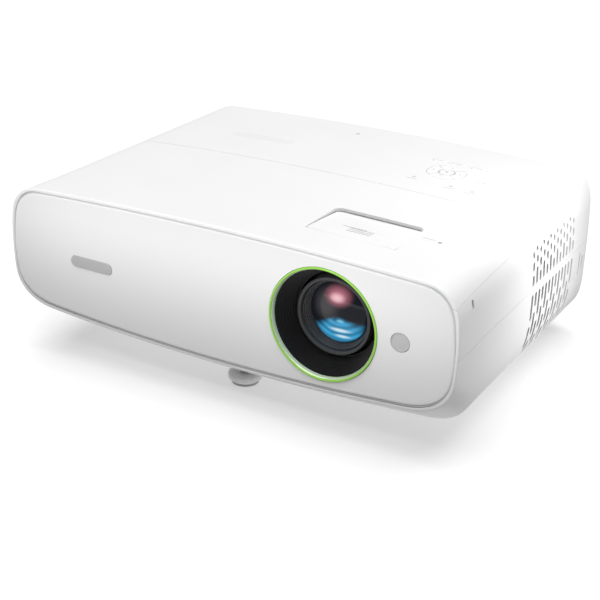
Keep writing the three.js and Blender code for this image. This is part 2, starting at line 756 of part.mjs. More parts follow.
const ARROWS = { right_key: 0, up_key: Math.PI / 2, left_key: Math.PI, down_key: 1.5 * Math.PI };
for (const [name, angle] of Object.entries(ARROWS)) part(name, arrowKey(angle), "key");
part("ok_key", rod("z", [PAD.x, PAD.y], 5.6, KEY_BOTTOM_Z, topAt(PAD.x) + KEY_RISE, 24), "key");
for (const [name, key] of Object.entries(OBLONG_KEYS)) part(name, oblongKey(key), "key");

// Rear panel and sockets

const REAR_PANEL_Y = 124.6;
const SOCKETS = {
  hdmi_sockets: { x: 90, z: 72, width: 17, height: 18, mouth: [14.2, 4.8], rise: [-5, 5], depth: 14 },
  usb_socket: { x: 56, z: 67, width: 15, height: 8.6, mouth: [12.6, 5.6], rise: [0], depth: 16 },
  vga_socket: { x: 14, z: 70, width: 31, height: 13.6, mouth: [17, 8.4], rise: [0], depth: 12 },
};
const INLET = { x: -104, z: 52, width: 30, height: 23, mouth: [24.4, 16.6] };

function socket({ x, z, width, height, mouth, rise, depth }) {
  const back = 127.4;
  const outer = box(x - width / 2, x + width / 2, back - depth, back, z - height / 2, z + height / 2);
  const mouths = rise.map((dz) => box(
    x - mouth[0] / 2, x + mouth[0] / 2, back - depth + 3, back + 1,
    z + dz - mouth[1] / 2, z + dz + mouth[1] / 2,
  ));
  return cut(outer, ...mouths);
}

function mainsInlet() {
  const { x, z, width, height, mouth } = INLET;
  const pin = (dx, dz) => box(x + dx - 1, x + dx + 1, 110, 122, z + dz - 2, z + dz + 2);
  const flange = box(
    x - width / 2 - 4, x + width / 2 + 4, 125.8, 128, z - height / 2 - 3, z + height / 2 + 3,
  );
  const body = box(x - width / 2, x + width / 2, 106, 127, z - height / 2, z + height / 2);
  const opening = box(
    x - mouth[0] / 2, x + mouth[0] / 2, 111, 130, z - mouth[1] / 2, z + mouth[1] / 2,
  );
  return union(cut(union(body, flange), opening), pin(-7, -1), pin(7, -1), pin(0, 3));
}

function rearPanel() {
  const { left, right, low, high } = REAR_OPENING;
  const plate = box(left + GAP, right - GAP, REAR_PANEL_Y - 2, REAR_PANEL_Y, low + GAP, high - GAP);
  const holes = Object.values(SOCKETS).map(({ x, z, width, height }) => box(
    x - width / 2 - GAP, x + width / 2 + GAP, 110, 140, z - height / 2 - GAP, z + height / 2 + GAP,
  ));
  const { x, z, width, height } = INLET;
  const vents = [];
  for (let i = 0; i < 12; i += 1) vents.push(box(-112 + i * 19, -97 + i * 19, 110, 140, 98, 102));
  return cut(
    plate,
    ...holes,
    box(x - width / 2 - GAP, x + width / 2 + GAP, 110, 140, z - height / 2 - GAP, z + height / 2 + GAP),
    ...vents,
  );
}

part("rear_panel", rearPanel(), "grey");
for (const [name, size] of Object.entries(SOCKETS)) part(name, socket(size), "steel");
part("mains_inlet", mainsInlet(), "black");

// Fans and speaker

const FANS = {
  exhaust_fan: { from: -164, y: -24, z: 68 },
  intake_fan: { from: 148, y: 44, z: 66 },
};
const FAN = { size: 66, depth: 14, bore: 31, hub: 12 };

function fanFrame({ from, y, z }) {
  const half = FAN.size / 2;
  const outline = rectangle(y - half, y + half, z - half, z + half, 4);
  const frame = cut(
    prism("x", outline, from, from + FAN.depth, { curveSegments: 2 }),
    rod("x", [y, z], FAN.bore, from - 1, from + FAN.depth + 1, 28),
  );
  const spokes = union(
    box(from, from + 2, y - FAN.bore - 1, y + FAN.bore + 1, z - 1.5, z + 1.5),
    box(from, from + 2, y - 1.5, y + 1.5, z - FAN.bore - 1, z + FAN.bore + 1),
  );
  return union(frame, spokes, rod("x", [y, z], FAN.hub, from, from + 3, 20));
}

function fanRotor({ from, y, z }) {
  const hub = rod("x", [y, z], FAN.hub, from + 3.4, from + FAN.depth, 20);
  const blades = [];
  for (let i = 0; i < 7; i += 1) {
    const blade = new THREE.BoxGeometry(1.2, 12, 18.4);
    blade.rotateZ(0.7).translate(from + 8.6, 0, FAN.hub + 8.4).rotateX((i * 2 * Math.PI) / 7);
    blades.push(solid(blade.translate(0, y, z)));
  }
  return union(hub, ...blades);
}

for (const [name, at] of Object.entries(FANS)) {
  part(`${name}_frame`, fanFrame(at), "black");
  part(`${name}_rotor`, fanRotor(at), "black");
}

part("speaker", turned("x", [52, 84], [
  [0, -150], [9, -150], [9, -158], [20, -163], [22, -163], [22, -167], [18, -167], [8, -162], [0, -163.5],
], 28), "black");

// Feet: a pad and a ribbed wheel in one piece, turning below a threaded stem

for (const [name, { x, y, radius, stem }] of Object.entries(FEET)) {
  const pad = radius - 1.6;
  part(name, turned("z", [x, y], [
    [0, 0], [pad - 0.8, 0], [pad, 0.8], [pad, 3], [radius - 0.8, 3], [radius, 3.8],
    [radius, WHEEL_TOP_Z - 0.8], [radius - 0.8, WHEEL_TOP_Z], [0, WHEEL_TOP_Z],
  ], 20), "shell");
  part(`${name}_stem`, rod("z", [x, y], stem, WHEEL_TOP_Z + GAP, STEM_TOP_Z, 20), "steel");
}

export default projector;
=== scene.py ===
"""A white home projector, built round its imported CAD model: fine shells, lens, keys, grilles and materials.

Units are metres in Blender. Shapes are written in millimetres and scaled by MM when a mesh is made.
The frame is the CAD's: X right seen from the front, Y from the front to the back, Z up.
"""

import json
import math

import bmesh
import bpy
import numpy as np
from mathutils import Matrix, Vector


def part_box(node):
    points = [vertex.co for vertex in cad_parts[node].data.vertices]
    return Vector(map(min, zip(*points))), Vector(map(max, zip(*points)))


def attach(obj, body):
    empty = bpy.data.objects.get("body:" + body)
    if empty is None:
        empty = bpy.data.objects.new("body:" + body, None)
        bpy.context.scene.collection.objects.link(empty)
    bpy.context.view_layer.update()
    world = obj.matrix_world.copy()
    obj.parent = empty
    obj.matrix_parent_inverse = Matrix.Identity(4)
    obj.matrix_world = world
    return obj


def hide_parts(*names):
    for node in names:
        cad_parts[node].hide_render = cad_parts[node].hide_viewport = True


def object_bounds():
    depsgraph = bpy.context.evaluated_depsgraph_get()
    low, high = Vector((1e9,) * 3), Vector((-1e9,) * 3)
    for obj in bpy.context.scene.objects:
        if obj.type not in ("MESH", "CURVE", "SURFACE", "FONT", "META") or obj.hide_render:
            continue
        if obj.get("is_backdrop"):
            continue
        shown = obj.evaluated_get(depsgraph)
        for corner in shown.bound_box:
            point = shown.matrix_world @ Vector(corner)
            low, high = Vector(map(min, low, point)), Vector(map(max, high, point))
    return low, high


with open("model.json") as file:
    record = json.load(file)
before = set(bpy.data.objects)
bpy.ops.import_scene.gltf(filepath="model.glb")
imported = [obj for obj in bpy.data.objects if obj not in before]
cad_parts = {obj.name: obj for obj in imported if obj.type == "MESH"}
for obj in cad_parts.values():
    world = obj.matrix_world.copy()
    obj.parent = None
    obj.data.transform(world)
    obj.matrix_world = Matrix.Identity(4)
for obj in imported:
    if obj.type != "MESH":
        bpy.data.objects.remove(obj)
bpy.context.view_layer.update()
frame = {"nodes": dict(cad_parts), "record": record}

MM = 0.001
TAU = 2 * math.pi


def box_mm(node):
    low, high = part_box(node)
    return np.array(low) / MM, np.array(high) / MM


def centre_mm(node):
    low, high = box_mm(node)
    return (low + high) / 2


def size_mm(node):
    low, high = box_mm(node)
    return high - low


# Driving dimensions, from the frame where a CAD node gives them
lower_low, lower_high = box_mm("lower_case")
upper_low, upper_high = box_mm("upper_case")
cover_high = box_mm("top_cover")[1]
panel_low, panel_high = box_mm("front_panel")
rear_low, rear_high = box_mm("rear_panel")
LENS = centre_mm("lens_trim_ring")
RING_RADIUS = size_mm("lens_trim_ring")[0] / 2
IR = centre_mm("ir_window")
LIP_Y = lower_low[1]
REAR_Y = lower_high[1]
BOTTOM_Z = lower_low[2]
TOP_Z = upper_high[2]
PARTING_Z = (lower_high[2] + upper_low[2]) / 2
SEAM_Y = cover_high[1] + 1.0
FLARE = 2.0
HALF_WIDTH = lower_high[0] - FLARE + 0.05
FLARE_END_Y = -64
TOP_CROWN = 3.6
CROWN_X = 148
WALL = 2.2
GAP = 0.3
CHIN_SLOPE = 0.61
CHIN_Z = 33
REAR_RADIUS = 20
COVER_SIDE_Z = 118
COVER_RADIUS = 20
CENTRE_Z = 80


# Materials

def set_inputs(node, values):
    for name, value in values.items():
        node.inputs[name].default_value = value


def new_material(name):
    made = bpy.data.materials.new(name)
    made.use_nodes = True
    return made, made.node_tree.nodes, made.node_tree.links


def surface(name, color, roughness, metallic=0.0, grain=0.5, bump=0.02, shade=0.03, rough_spread=0.08,
            coat=0.0, specular=0.5, transmission=0.0, ior=1.5, stretch=(1, 1, 1), above=None):
    """A moulded, cast or brushed finish that varies in tint and roughness. grain is in millimetres."""
    made, nodes, links = new_material(name)
    shader = nodes["Principled BSDF"]
    set_inputs(shader, {"Metallic": metallic, "Coat Weight": coat, "Coat Roughness": 0.12,
                        "Specular IOR Level": specular, "Transmission Weight": transmission, "IOR": ior})
    coords = nodes.new("ShaderNodeTexCoord")
    mapping = nodes.new("ShaderNodeMapping")
    mapping.inputs["Scale"].default_value = stretch
    links.new(coords.outputs["Object"], mapping.inputs["Vector"])

    def noise(size_mm, detail):
        node = nodes.new("ShaderNodeTexNoise")
        set_inputs(node, {"Scale": 1 / (size_mm * MM), "Detail": detail})
        links.new(mapping.outputs["Vector"], node.inputs["Vector"])
        return node.outputs["Fac"]

    def spread(source, low, high):
        node = nodes.new("ShaderNodeMapRange")
        set_inputs(node, {"To Min": low, "To Max": high})
        links.new(source, node.inputs["Value"])
        return node.outputs["Result"]

    fine = noise(grain, 3)
    broad = noise(60, 4)
    ramp = nodes.new("ShaderNodeMix")
    ramp.data_type = "RGBA"
    set_inputs(ramp, {"A": (*[c * (1 - shade) for c in color], 1),
                      "B": (*[min(1, c * (1 + shade * 0.5)) for c in color], 1)})
    links.new(broad, ramp.inputs["Factor"])
    tint = ramp.outputs["Result"]
    if above:
        level, upper_color = above
        split = nodes.new("ShaderNodeSeparateXYZ")
        links.new(coords.outputs["Object"], split.inputs["Vector"])
        step = nodes.new("ShaderNodeMath")
        step.operation = "GREATER_THAN"
        step.inputs[1].default_value = level * MM
        links.new(split.outputs["Z"], step.inputs[0])
        two = nodes.new("ShaderNodeMix")
        two.data_type = "RGBA"
        two.inputs["B"].default_value = (*upper_color, 1)
        links.new(tint, two.inputs["A"])
        links.new(step.outputs["Value"], two.inputs["Factor"])
        tint = two.outputs["Result"]
    links.new(tint, shader.inputs["Base Color"])
    links.new(spread(broad, roughness - rough_spread / 2, roughness + rough_spread / 2),
              shader.inputs["Roughness"])
    height = nodes.new("ShaderNodeBump")
    set_inputs(height, {"Strength": 1.0, "Distance": bump * MM})
    links.new(fine, height.inputs["Height"])
    links.new(height.outputs["Normal"], shader.inputs["Normal"])
    return made


MATERIALS = {
    "shell": surface("white_shell", (0.8, 0.8, 0.8), 0.42, grain=0.45, bump=0.012, shade=0.015),
    "front": surface("white_front", (0.79, 0.79, 0.79), 0.3, grain=0.5, bump=0.006, shade=0.012, coat=0.25),
    "key_plastic": surface("white_keys", (0.84, 0.84, 0.84), 0.4, grain=0.3, bump=0.008),
    "foot_wheel": surface("white_feet", (0.88, 0.88, 0.88), 0.45, grain=0.4, bump=0.015),
    "badge": surface("badge_metal", (0.6, 0.6, 0.6), 0.35, metallic=0.5, grain=0.12, bump=0.006,
                     stretch=(0.05, 1, 1)),
    "print": surface("grey_print", (0.52, 0.52, 0.52), 0.6, grain=0.2, bump=0.003),
    "light_print": surface("light_print", (0.72, 0.72, 0.72), 0.6, grain=0.2, bump=0.003),
    "dark_print": surface("dark_print", (0.3, 0.3, 0.3), 0.6, grain=0.2, bump=0.003),
    "ir_plastic": surface("ir_window", (0.52, 0.52, 0.53), 0.22, grain=0.9, bump=0.002, coat=0.4),
    "green_trim": surface("green_trim", (0.34, 0.7, 0.09), 0.3, metallic=0.15, grain=0.25, bump=0.004,
                          coat=0.6),
    "trim_inner": surface("trim_bevel", (0.66, 0.8, 0.58), 0.3, metallic=0.3, grain=0.25, bump=0.004),
    "black_plastic": surface("black_plastic", (0.012, 0.012, 0.013), 0.42, grain=0.25, bump=0.01),
    "lens_black": surface("lens_black", (0.018, 0.018, 0.02), 0.32, grain=0.2, bump=0.004),
    "edge_black": surface("lens_edge", (0.06, 0.06, 0.065), 0.28, grain=0.2, bump=0.003),
    "circuit_board": surface("soldermask", (0.02, 0.16, 0.06), 0.4, grain=1.4, bump=0.03, shade=0.3),
    "casting": surface("cast_housing", (0.2, 0.2, 0.21), 0.55, metallic=0.6, grain=0.8, bump=0.05),
    "heatsink": surface("fin_aluminium", (0.5, 0.51, 0.52), 0.35, metallic=0.95, grain=0.15, bump=0.01,
                        stretch=(1, 1, 0.05)),
    "motor_steel": surface("motor_steel", (0.48, 0.48, 0.5), 0.3, metallic=1.0, grain=0.1, bump=0.006,
                           stretch=(0.05, 1, 1)),
    "socket_steel": surface("socket_steel", (0.55, 0.55, 0.57), 0.26, metallic=1.0, grain=0.2, bump=0.006),
    "mirror": surface("mirror_coat", (0.86, 0.88, 0.9), 0.05, metallic=1.0, grain=2, bump=0.002),
    "lamp_cage": surface("lamp_cage", (0.05, 0.05, 0.05), 0.6, grain=0.5, bump=0.03),
    "rear_plastic": surface("rear_panel", (0.62, 0.62, 0.63), 0.5, grain=0.5, bump=0.02),
    "inlet_plastic": surface("inlet_black", (0.02, 0.02, 0.02), 0.5, grain=0.4, bump=0.02),
    "fan_plastic": surface("fan_black", (0.02, 0.02, 0.022), 0.45, grain=0.4, bump=0.02),
    "speaker_cone": surface("speaker_paper", (0.04, 0.04, 0.04), 0.85, grain=0.7, bump=0.08),
    "foot_rubber": surface("foot_rubber", (0.4, 0.4, 0.4), 0.8, grain=0.6, bump=0.05),
    # Slot walls: white case plastic, painted near black as the shade inside the slots.
    "painted_shade_slot_wall": surface("painted_shade_slot_wall", (0.09, 0.09, 0.09), 0.6, grain=0.3, bump=0.01, shade=0.05),
    # Grey darker than the shell: painted shade for the line round the front plate.
    "gap_shade_strip": surface("gap_shade_strip", (0.6, 0.6, 0.6), 0.6, grain=0.3, bump=0.01, shade=0.05),
    "filter": surface("dust_filter", (0.07, 0.07, 0.073), 0.8, grain=0.6, bump=0.2, shade=0.2),
    "chip_window": surface("chip_window", (0.1, 0.12, 0.16), 0.08, metallic=0.3, grain=1, bump=0.002),
    "light_guide": surface("light_guide", (0.8, 0.8, 0.8), 0.2, grain=1, bump=0.002, transmission=0.1),
    "quartz": surface("quartz", (0.9, 0.92, 0.95), 0.04, grain=2, bump=0.002, transmission=0.95, ior=1.46),
    "filter_glass": surface("wheel_glass", (0.5, 0.6, 0.5), 0.08, grain=2, bump=0.002, transmission=0.6),
    "lens_glass": surface("clear_glass", (0.8, 0.86, 0.92), 0.02, grain=3, bump=0.0005, transmission=1.0,
                          ior=1.52, shade=0.0, rough_spread=0.01),
}


# Meshes

def placed(name, data):
    made = bpy.data.objects.new(name, data)
    bpy.context.scene.collection.objects.link(made)
    return made


def mesh_piece(name, points, faces, material, body="root", smooth=35):
    """points in millimetres."""
    mesh = bpy.data.meshes.new(name)
    mesh.from_pydata([tuple(p) for p in np.asarray(points, float) * MM], [], [tuple(f) for f in faces])
    piece = placed(name, mesh)
    fix_normals(mesh)
    shade(mesh, smooth)
    mesh.materials.append(MATERIALS[material])
    if body:
        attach(piece, body)
    return piece


def fix_normals(mesh):
    work = bmesh.new()
    work.from_mesh(mesh)
    bmesh.ops.remove_doubles(work, verts=work.verts, dist=1e-7)
    bmesh.ops.recalc_face_normals(work, faces=work.faces)
    work.to_mesh(mesh)
    work.free()


def shade(mesh, degrees):
    mesh.polygons.foreach_set("use_smooth", [True] * len(mesh.polygons))
    mesh.set_sharp_from_angle(angle=math.radians(degrees))
    mesh.update()


def rings(loops, close=True, cap_start=False, cap_end=False):
    """Faces between equal-length loops of points, stacked in order."""
    count = len(loops[0])
    faces = []
    span = count if close else count - 1
    for i in range(len(loops) - 1):
        for j in range(span):
            k = (j + 1) % count
            faces.append((i * count + j, i * count + k, (i + 1) * count + k, (i + 1) * count + j))
    if cap_start:
        faces.append(tuple(range(count)))
    if cap_end:
        faces.append(tuple(range((len(loops) - 1) * count, len(loops) * count)))
    return np.concatenate(loops), faces


def boolean(piece, tool, operation="DIFFERENCE"):
    cutter = piece.modifiers.new("cut", "BOOLEAN")
    cutter.operation = operation
    cutter.object = tool
    cutter.solver = "EXACT"
    cutter.material_mode = "TRANSFER"
    graph = bpy.context.evaluated_depsgraph_get()
    mesh = bpy.data.meshes.new_from_object(piece.evaluated_get(graph))
    piece.modifiers.clear()
    old = piece.data
    piece.data = mesh
    bpy.data.meshes.remove(old)


def remove(*pieces):
    for piece in pieces:
        bpy.data.objects.remove(piece)


def weighted(piece):
    made = piece.modifiers.new("even_normals", "WEIGHTED_NORMAL")
    made.keep_sharp = True
    made.weight = 80


def swap(points, axis):
    """(u, v, along) to the row frame: u, v are (y, z), (x, z) or (x, y)."""
    u, v, along = np.asarray(points, float).T
    stacked = {"x": (along, u, v), "y": (u, along, v), "z": (u, v, along)}[axis]
    return np.stack(stacked, axis=1)


def inset_outline(outline, amount):
    """Moves each point of a counter-clockwise outline inwards along its own normal."""
    points = np.asarray(outline, float)
    ahead = np.roll(points, -1, axis=0) - points
    ahead /= np.linalg.norm(ahead, axis=1)[:, None]
    behind = np.roll(ahead, 1, axis=0)
    normal = np.stack((-(ahead + behind)[:, 1], (ahead + behind)[:, 0]), axis=1)
    normal /= np.linalg.norm(normal, axis=1)[:, None]
    lean = np.maximum(0.35, np.abs((normal * np.stack((-ahead[:, 1], ahead[:, 0]), axis=1)).sum(axis=1)))
    return points + normal * (amount / lean)[:, None]


def slab(name, outline, axis, low, high, material, body="root", edge=0.0, both=False, steps=4, smooth=35):
    """An outline given thickness, with a rounded edge on its high side or on both."""
    def level(at, inset):
        ring = inset_outline(outline, inset) if inset else np.asarray(outline, float)
        return swap(np.column_stack((ring, np.full(len(ring), at))), axis)

    turns = [edge * (1 - math.cos(math.pi / 2 * i / steps)) for i in range(steps + 1)] if edge else [0]
    rises = [edge * math.sin(math.pi / 2 * i / steps) for i in range(steps + 1)] if edge else [0]
    sign = 1 if high > low else -1
    loops = []
    if both and edge:
        loops += [level(low + sign * (edge - r), t) for t, r in zip(turns[::-1], rises[::-1])]
    else:
        loops.append(level(low, 0))
    loops += [level(high - sign * (edge - r), t) for t, r in zip(turns, rises)]
    points, faces = rings(loops, cap_start=True, cap_end=True)
    return mesh_piece(name, points, faces, material, body, smooth)


def arc(x, y, radius, start, end, steps):
    return [(x + radius * math.cos(a), y + radius * math.sin(a)) for a in np.linspace(start, end, steps)]


def pill(left, right, low, high, radius, steps=9):
    """A counter-clockwise rectangle with round corners."""
    outline = []
    corners = [(right - radius, low + radius, -math.pi / 2), (right - radius, high - radius, 0),
               (left + radius, high - radius, math.pi / 2), (left + radius, low + radius, math.pi)]
    for x, y, start in corners:
        outline += arc(x, y, radius, start, start + math.pi / 2, steps)
    kept = [p for i, p in enumerate(outline) if math.dist(p, outline[i - 1]) > 1e-4]
    return np.array(kept)


def disc(x, y, radius, steps=64):
    return np.array(arc(x, y, radius, 0, TAU, steps + 1)[:-1])


def raised(face, profile):
    """A profile whose distances are measured from a face."""
    return [(radius, face + rise) for radius, rise in profile]


def lathe(name, axis, centre, profile, material, body="root", steps=160, smooth=30, wave=None):
    """profile lists (radius, distance along the axis); a radius of 0 closes the end."""
    angles = np.linspace(0, TAU, steps, endpoint=False)
    loops = []
    for radius, along in profile:
        around = radius if wave is None else radius + wave(angles, radius, along)
        u = centre[0] + around * np.cos(angles)
        v = centre[1] + around * np.sin(angles)
        loops.append(swap(np.column_stack((u, v, np.full(steps, along))), axis))
    closed = profile[0][0] > 0 and profile[-1][0] > 0
    if closed:
        loops.append(loops[0])
    points, faces = rings(loops)
    return mesh_piece(name, points, faces, material, body, smooth)


# Case outlines: the same curves as the CAD, at a finer step

def curve(p0, p1, p2, steps):
    t = np.linspace(0, 1, steps + 1)[:, None]
    return (1 - t) ** 2 * np.array(p0) + 2 * t * (1 - t) * np.array(p1) + t * t * np.array(p2)


def shoulder(width, top):
    crown = top - TOP_CROWN
    return [curve((0, top), (CROWN_X / 2, top), (CROWN_X, crown), 18)[:-1],
            curve((CROWN_X, crown), (width - 3.6, crown - 1.2), (width - 1.6, top - 28.6), 22)[:-1]]


def section_half(inset):
    width = HALF_WIDTH - inset
    top, low = TOP_Z - inset, BOTTOM_Z + inset
    return np.concatenate(shoulder(width, top) + [
        curve((width - 1.6, top - 28.6), (width + 0.8, 76), (width - 0.5, 54), 16)[:-1],
        curve((width - 0.5, 54), (width - 2.9, low), (width - 36, low), 28)[:-1],
        curve((width - 36, low), ((width - 36) / 2, low), (0, low), 14),
    ])


def front_bottom(width, low):
    return [curve((width - 1, 68), (width - 4, low + 8.5), (width - 34.5, low + 6), 24)[:-1],
            curve((width - 34.5, low + 6), ((width - 34.5) / 2, low), (0, low), 16)]


def panel_half(inset):
    width = HALF_WIDTH + FLARE - inset
    top = TOP_Z - inset
    return np.concatenate(shoulder(width, top) + [
        curve((width - 1.6, top - 28.6), (width + 0.9, 85), (width - 1, 68), 16)[:-1],
    ] + front_bottom(width, CHIN_Z + inset))


def chin_half(inset):
    width = HALF_WIDTH + FLARE - inset
    sides = [np.array([(0, 400), (width + 4, 400), (width + 4, 102), (width + 2, 95)])]
    return np.concatenate(sides + front_bottom(width, CHIN_Z + inset))


def whole(half):
    """Mirrors a half outline that runs clockwise from the top, and turns the whole counter-clockwise."""
    left = half[1:-1][::-1] * (-1, 1)
    return np.concatenate((half, left))[::-1]


def radius_at(half, angles, drop=0.0):
    """Distance from the case's axis to a half outline, in each direction. drop lowers the outline."""
    x, z = half[:, 0], half[:, 1] - drop - CENTRE_Z
    bearing = np.arctan2(z, np.maximum(x, 1e-9))
    order = np.argsort(bearing)
    ends = np.interp(angles, bearing[order], np.arange(len(order)))
    index = np.clip(ends.astype(int), 0, len(order) - 2)
    a = np.stack((x, z), axis=1)[order][index]
    b = np.stack((x, z), axis=1)[order][index + 1]
    direction = np.stack((np.cos(angles), np.sin(angles)), axis=1)
    side = b - a
    cross = direction[:, 0] * side[:, 1] - direction[:, 1] * side[:, 0]
    reach = (a[:, 0] * side[:, 1] - a[:, 1] * side[:, 0]) / np.where(np.abs(cross) < 1e-9, 1e-9, cross)
    return np.abs(reach)


def soft_min(a, b, width):
    near = np.maximum(width - np.abs(a - b), 0) / width
    return np.minimum(a, b) - near * near * width / 4


base_half = section_half(0)
ANGLES = np.arctan2(base_half[:, 1] - CENTRE_Z, np.maximum(base_half[:, 0], 1e-9))
ANGLES[0], ANGLES[-1] = math.pi / 2, -math.pi / 2


def case_loop(y, inset, shrink=0.0):
    """The case's outline at y, as a loop of points in the row frame."""
    flare = 1 + FLARE / HALF_WIDTH * np.clip((FLARE_END_Y - y) / (FLARE_END_Y - LIP_Y), 0, 1) ** 1.5
    half = section_half(inset + shrink)
    reach = radius_at(half * (flare, 1), ANGLES)
    drop = CHIN_SLOPE * (y - LIP_Y)
    reach = soft_min(reach, radius_at(chin_half(inset + shrink), ANGLES, drop), 4)
    corner = REAR_Y - REAR_RADIUS
    if y > corner:
        radius = REAR_RADIUS - inset
        width = HALF_WIDTH - inset - radius + math.sqrt(max(0, radius ** 2 - (y - corner) ** 2))
        reach = soft_min(reach, width / np.maximum(np.cos(ANGLES), 1e-6), 2)
    right = np.column_stack((reach * np.cos(ANGLES), reach * np.sin(ANGLES) + CENTRE_Z))
    loop = whole(right)
    return np.column_stack((loop[:, 0], np.full(len(loop), y), loop[:, 1]))


def stations(front, rear, last):
    """Places along y, closer together round the rear corner, up to last."""
    corner = REAR_Y - REAR_RADIUS
    curved = [corner + (rear - corner) * math.sin(math.pi / 2 * i / 12) for i in range(1, 12)]
    straight = list(np.arange(front, FLARE_END_Y, 3.2)) + list(np.linspace(FLARE_END_Y, corner, 12))
    return straight + [y for y in curved if y < last - 0.2]


def case_shell():
    lip, soft = 0.8, 2.5
    outer = []
    for turn in np.linspace(math.pi / 2, 0, 4):
        outer.append(case_loop(LIP_Y + lip * (1 - math.sin(turn)), 0, lip * (1 - math.cos(turn))))
    outer += [case_loop(y, 0) for y in stations(LIP_Y + 2, REAR_Y, REAR_Y - soft)]
    for turn in np.linspace(0, math.pi / 2, 6):
        outer.append(case_loop(REAR_Y - soft * (1 - math.sin(turn)), 0, soft * (1 - math.cos(turn))))
    inner_rear = REAR_Y - WALL
    inner = [case_loop(LIP_Y, WALL - 0.2)]
    inner += [case_loop(y, WALL) for y in stations(LIP_Y + 2, inner_rear, inner_rear)]
    inner += [case_loop(inner_rear, WALL)]
    points, faces = rings(inner[::-1] + outer, cap_start=True, cap_end=True)
    return points, faces


# Ranges that cutters reach through
REAR_CUT, FRONT_CUT, TOP_CUT, ACROSS = (110, 140), (-140, -110), (120, 150), (-190, 190)


def tool_slab(outline, axis, low, high, material="shell"):
    """A cutter. The faces that it cuts take its material."""
    return slab("tool", outline, axis, low, high, material, None)


def box_tool(low, high):
    outline = [(low[0], low[1]), (high[0], low[1]), (high[0], high[1]), (low[0], high[1])]
    return tool_slab(outline, "z", low[2], high[2])


def copy_of(piece, name):
    made = piece.copy()
    made.data = piece.data.copy()
    made.name = name
    bpy.context.scene.collection.objects.link(made)
    return made


def joined_tool(parts):
    """Several closed tools as one object."""
    work = bmesh.new()
    for part in parts:
        work.from_mesh(part.data)
    mesh = bpy.data.meshes.new("tools")
    work.to_mesh(mesh)
    work.free()
    remove(*parts)
    return placed("tools", mesh)


# Case

def side_profile(gap):
    """Everything of the front cover lies in this side profile."""
    seam, low = SEAM_Y - gap, COVER_SIDE_Z + gap
    outline = [(LIP_Y - 5, low - 3), (seam - COVER_RADIUS, low)]
    outline += arc(seam - COVER_RADIUS, low + COVER_RADIUS, COVER_RADIUS, -math.pi / 2, 0, 14)[1:]
    return outline + [(seam, 150), (LIP_Y - 5, 150)]


def slot_outline(y, high, low, width, steps=7):
    radius = width / 2
    return np.array(arc(y, high - radius, radius, 0, math.pi, steps)
                    + arc(y, low + radius, radius, math.pi, TAU, steps))


GRILLE_PITCH = 6.6
SLOT_WIDTH = 3.6
RIGHT_GRILLE = {"start": 1.3, "columns": 13, "from": 140, "to": 190}
LEFT_GRILLE = {"start": -54, "columns": 10, "from": -190, "to": -140}
UPPER_SLOTS = [[[108.8, 103.8], [101.3, 94.2], [91.7, 83.2]], [[111.3, 107.2], [104.8, 98.8], [96.4, 83.2]]]
LOWER_SLOTS = [[[77.5, 57], [53, 35]], [[77.5, 66], [62, 44], [40, 28]]]
LEFT_UPPER_SLOTS = [[[108, 98], [94.5, 84.2]]]
LEFT_LOWER_SLOTS = [[[77.5, 58], [54, 34]]]
CORNER_SLOTS = [{"y": 98.8, "high": 76, "low": 56, "width": 2.6},
                {"y": 104.8, "high": 72, "low": 60, "width": 2.6}]


def grille(slots, side):
    tools = []
    for column in range(side["columns"]):
        for high, low in slots[column % len(slots)]:
            outline = slot_outline(side["start"] + column * GRILLE_PITCH, high, low, SLOT_WIDTH)
            # The cut slot walls take the painted shade material.
            tools.append(tool_slab(outline, "x", side["from"], side["to"], "painted_shade_slot_wall"))
    return tools


def rod_tool(x, y, radius, low, high, steps=48):
    return tool_slab(disc(x, y, radius, steps), "z", low, high)


def top_at(x):
    return TOP_Z - TOP_CROWN * (x / CROWN_X) ** 2


PAD = {"x": 79.4, "y": 59.8, "radius": 14.8, "gap": 0.5}
OBLONG_KEYS = {key: box_mm(key) for key in ("power_key", "menu_key", "source_key", "back_key")}
LIGHTS = [(63.8, 36.7), (94.2, 33.9), (111.4, 32.7)]
LIGHT_RADIUS = 1.3
FEET = {name: centre_mm(name) for name in ("front_foot", "rear_left_foot", "rear_right_foot")}
STEMS = {name: size_mm(name + "_stem")[0] / 2 for name in FEET}
LOCK_SLOT = {"y": -104.3, "high": 113.2, "low": 106.4, "width": 3.4}
REAR_OPENING = {"left": -128, "right": 128, "low": 30, "high": 112, "radius": 2.5}


def key_outline(node, grow=0.0):
    low, high = OBLONG_KEYS[node]
    radius = (high[1] - low[1]) / 2 + grow - 0.02
    return pill(low[0] - grow, high[0] + grow, low[1] - grow, high[1] + grow, radius)


points, faces = case_shell()
shell = mesh_piece("shell", points, faces, "shell", None)
half_gap = GAP / 2 - 0.03
lower = copy_of(shell, "lower_shell")
band = box_tool((-190, -140, 0), (190, 140, PARTING_Z - half_gap))
boolean(lower, band, "INTERSECT")
upper = copy_of(shell, "upper_shell")
band_above = box_tool((-190, -140, PARTING_Z + half_gap), (190, 140, 160))
boolean(upper, band_above, "INTERSECT")
cover = copy_of(upper, "front_cover")
region = tool_slab(side_profile(half_gap), "x", *ACROSS)
boolean(cover, region, "INTERSECT")
wider = tool_slab(side_profile(-half_gap), "x", *ACROSS)
boolean(upper, wider)
remove(shell, band, band_above, region, wider)

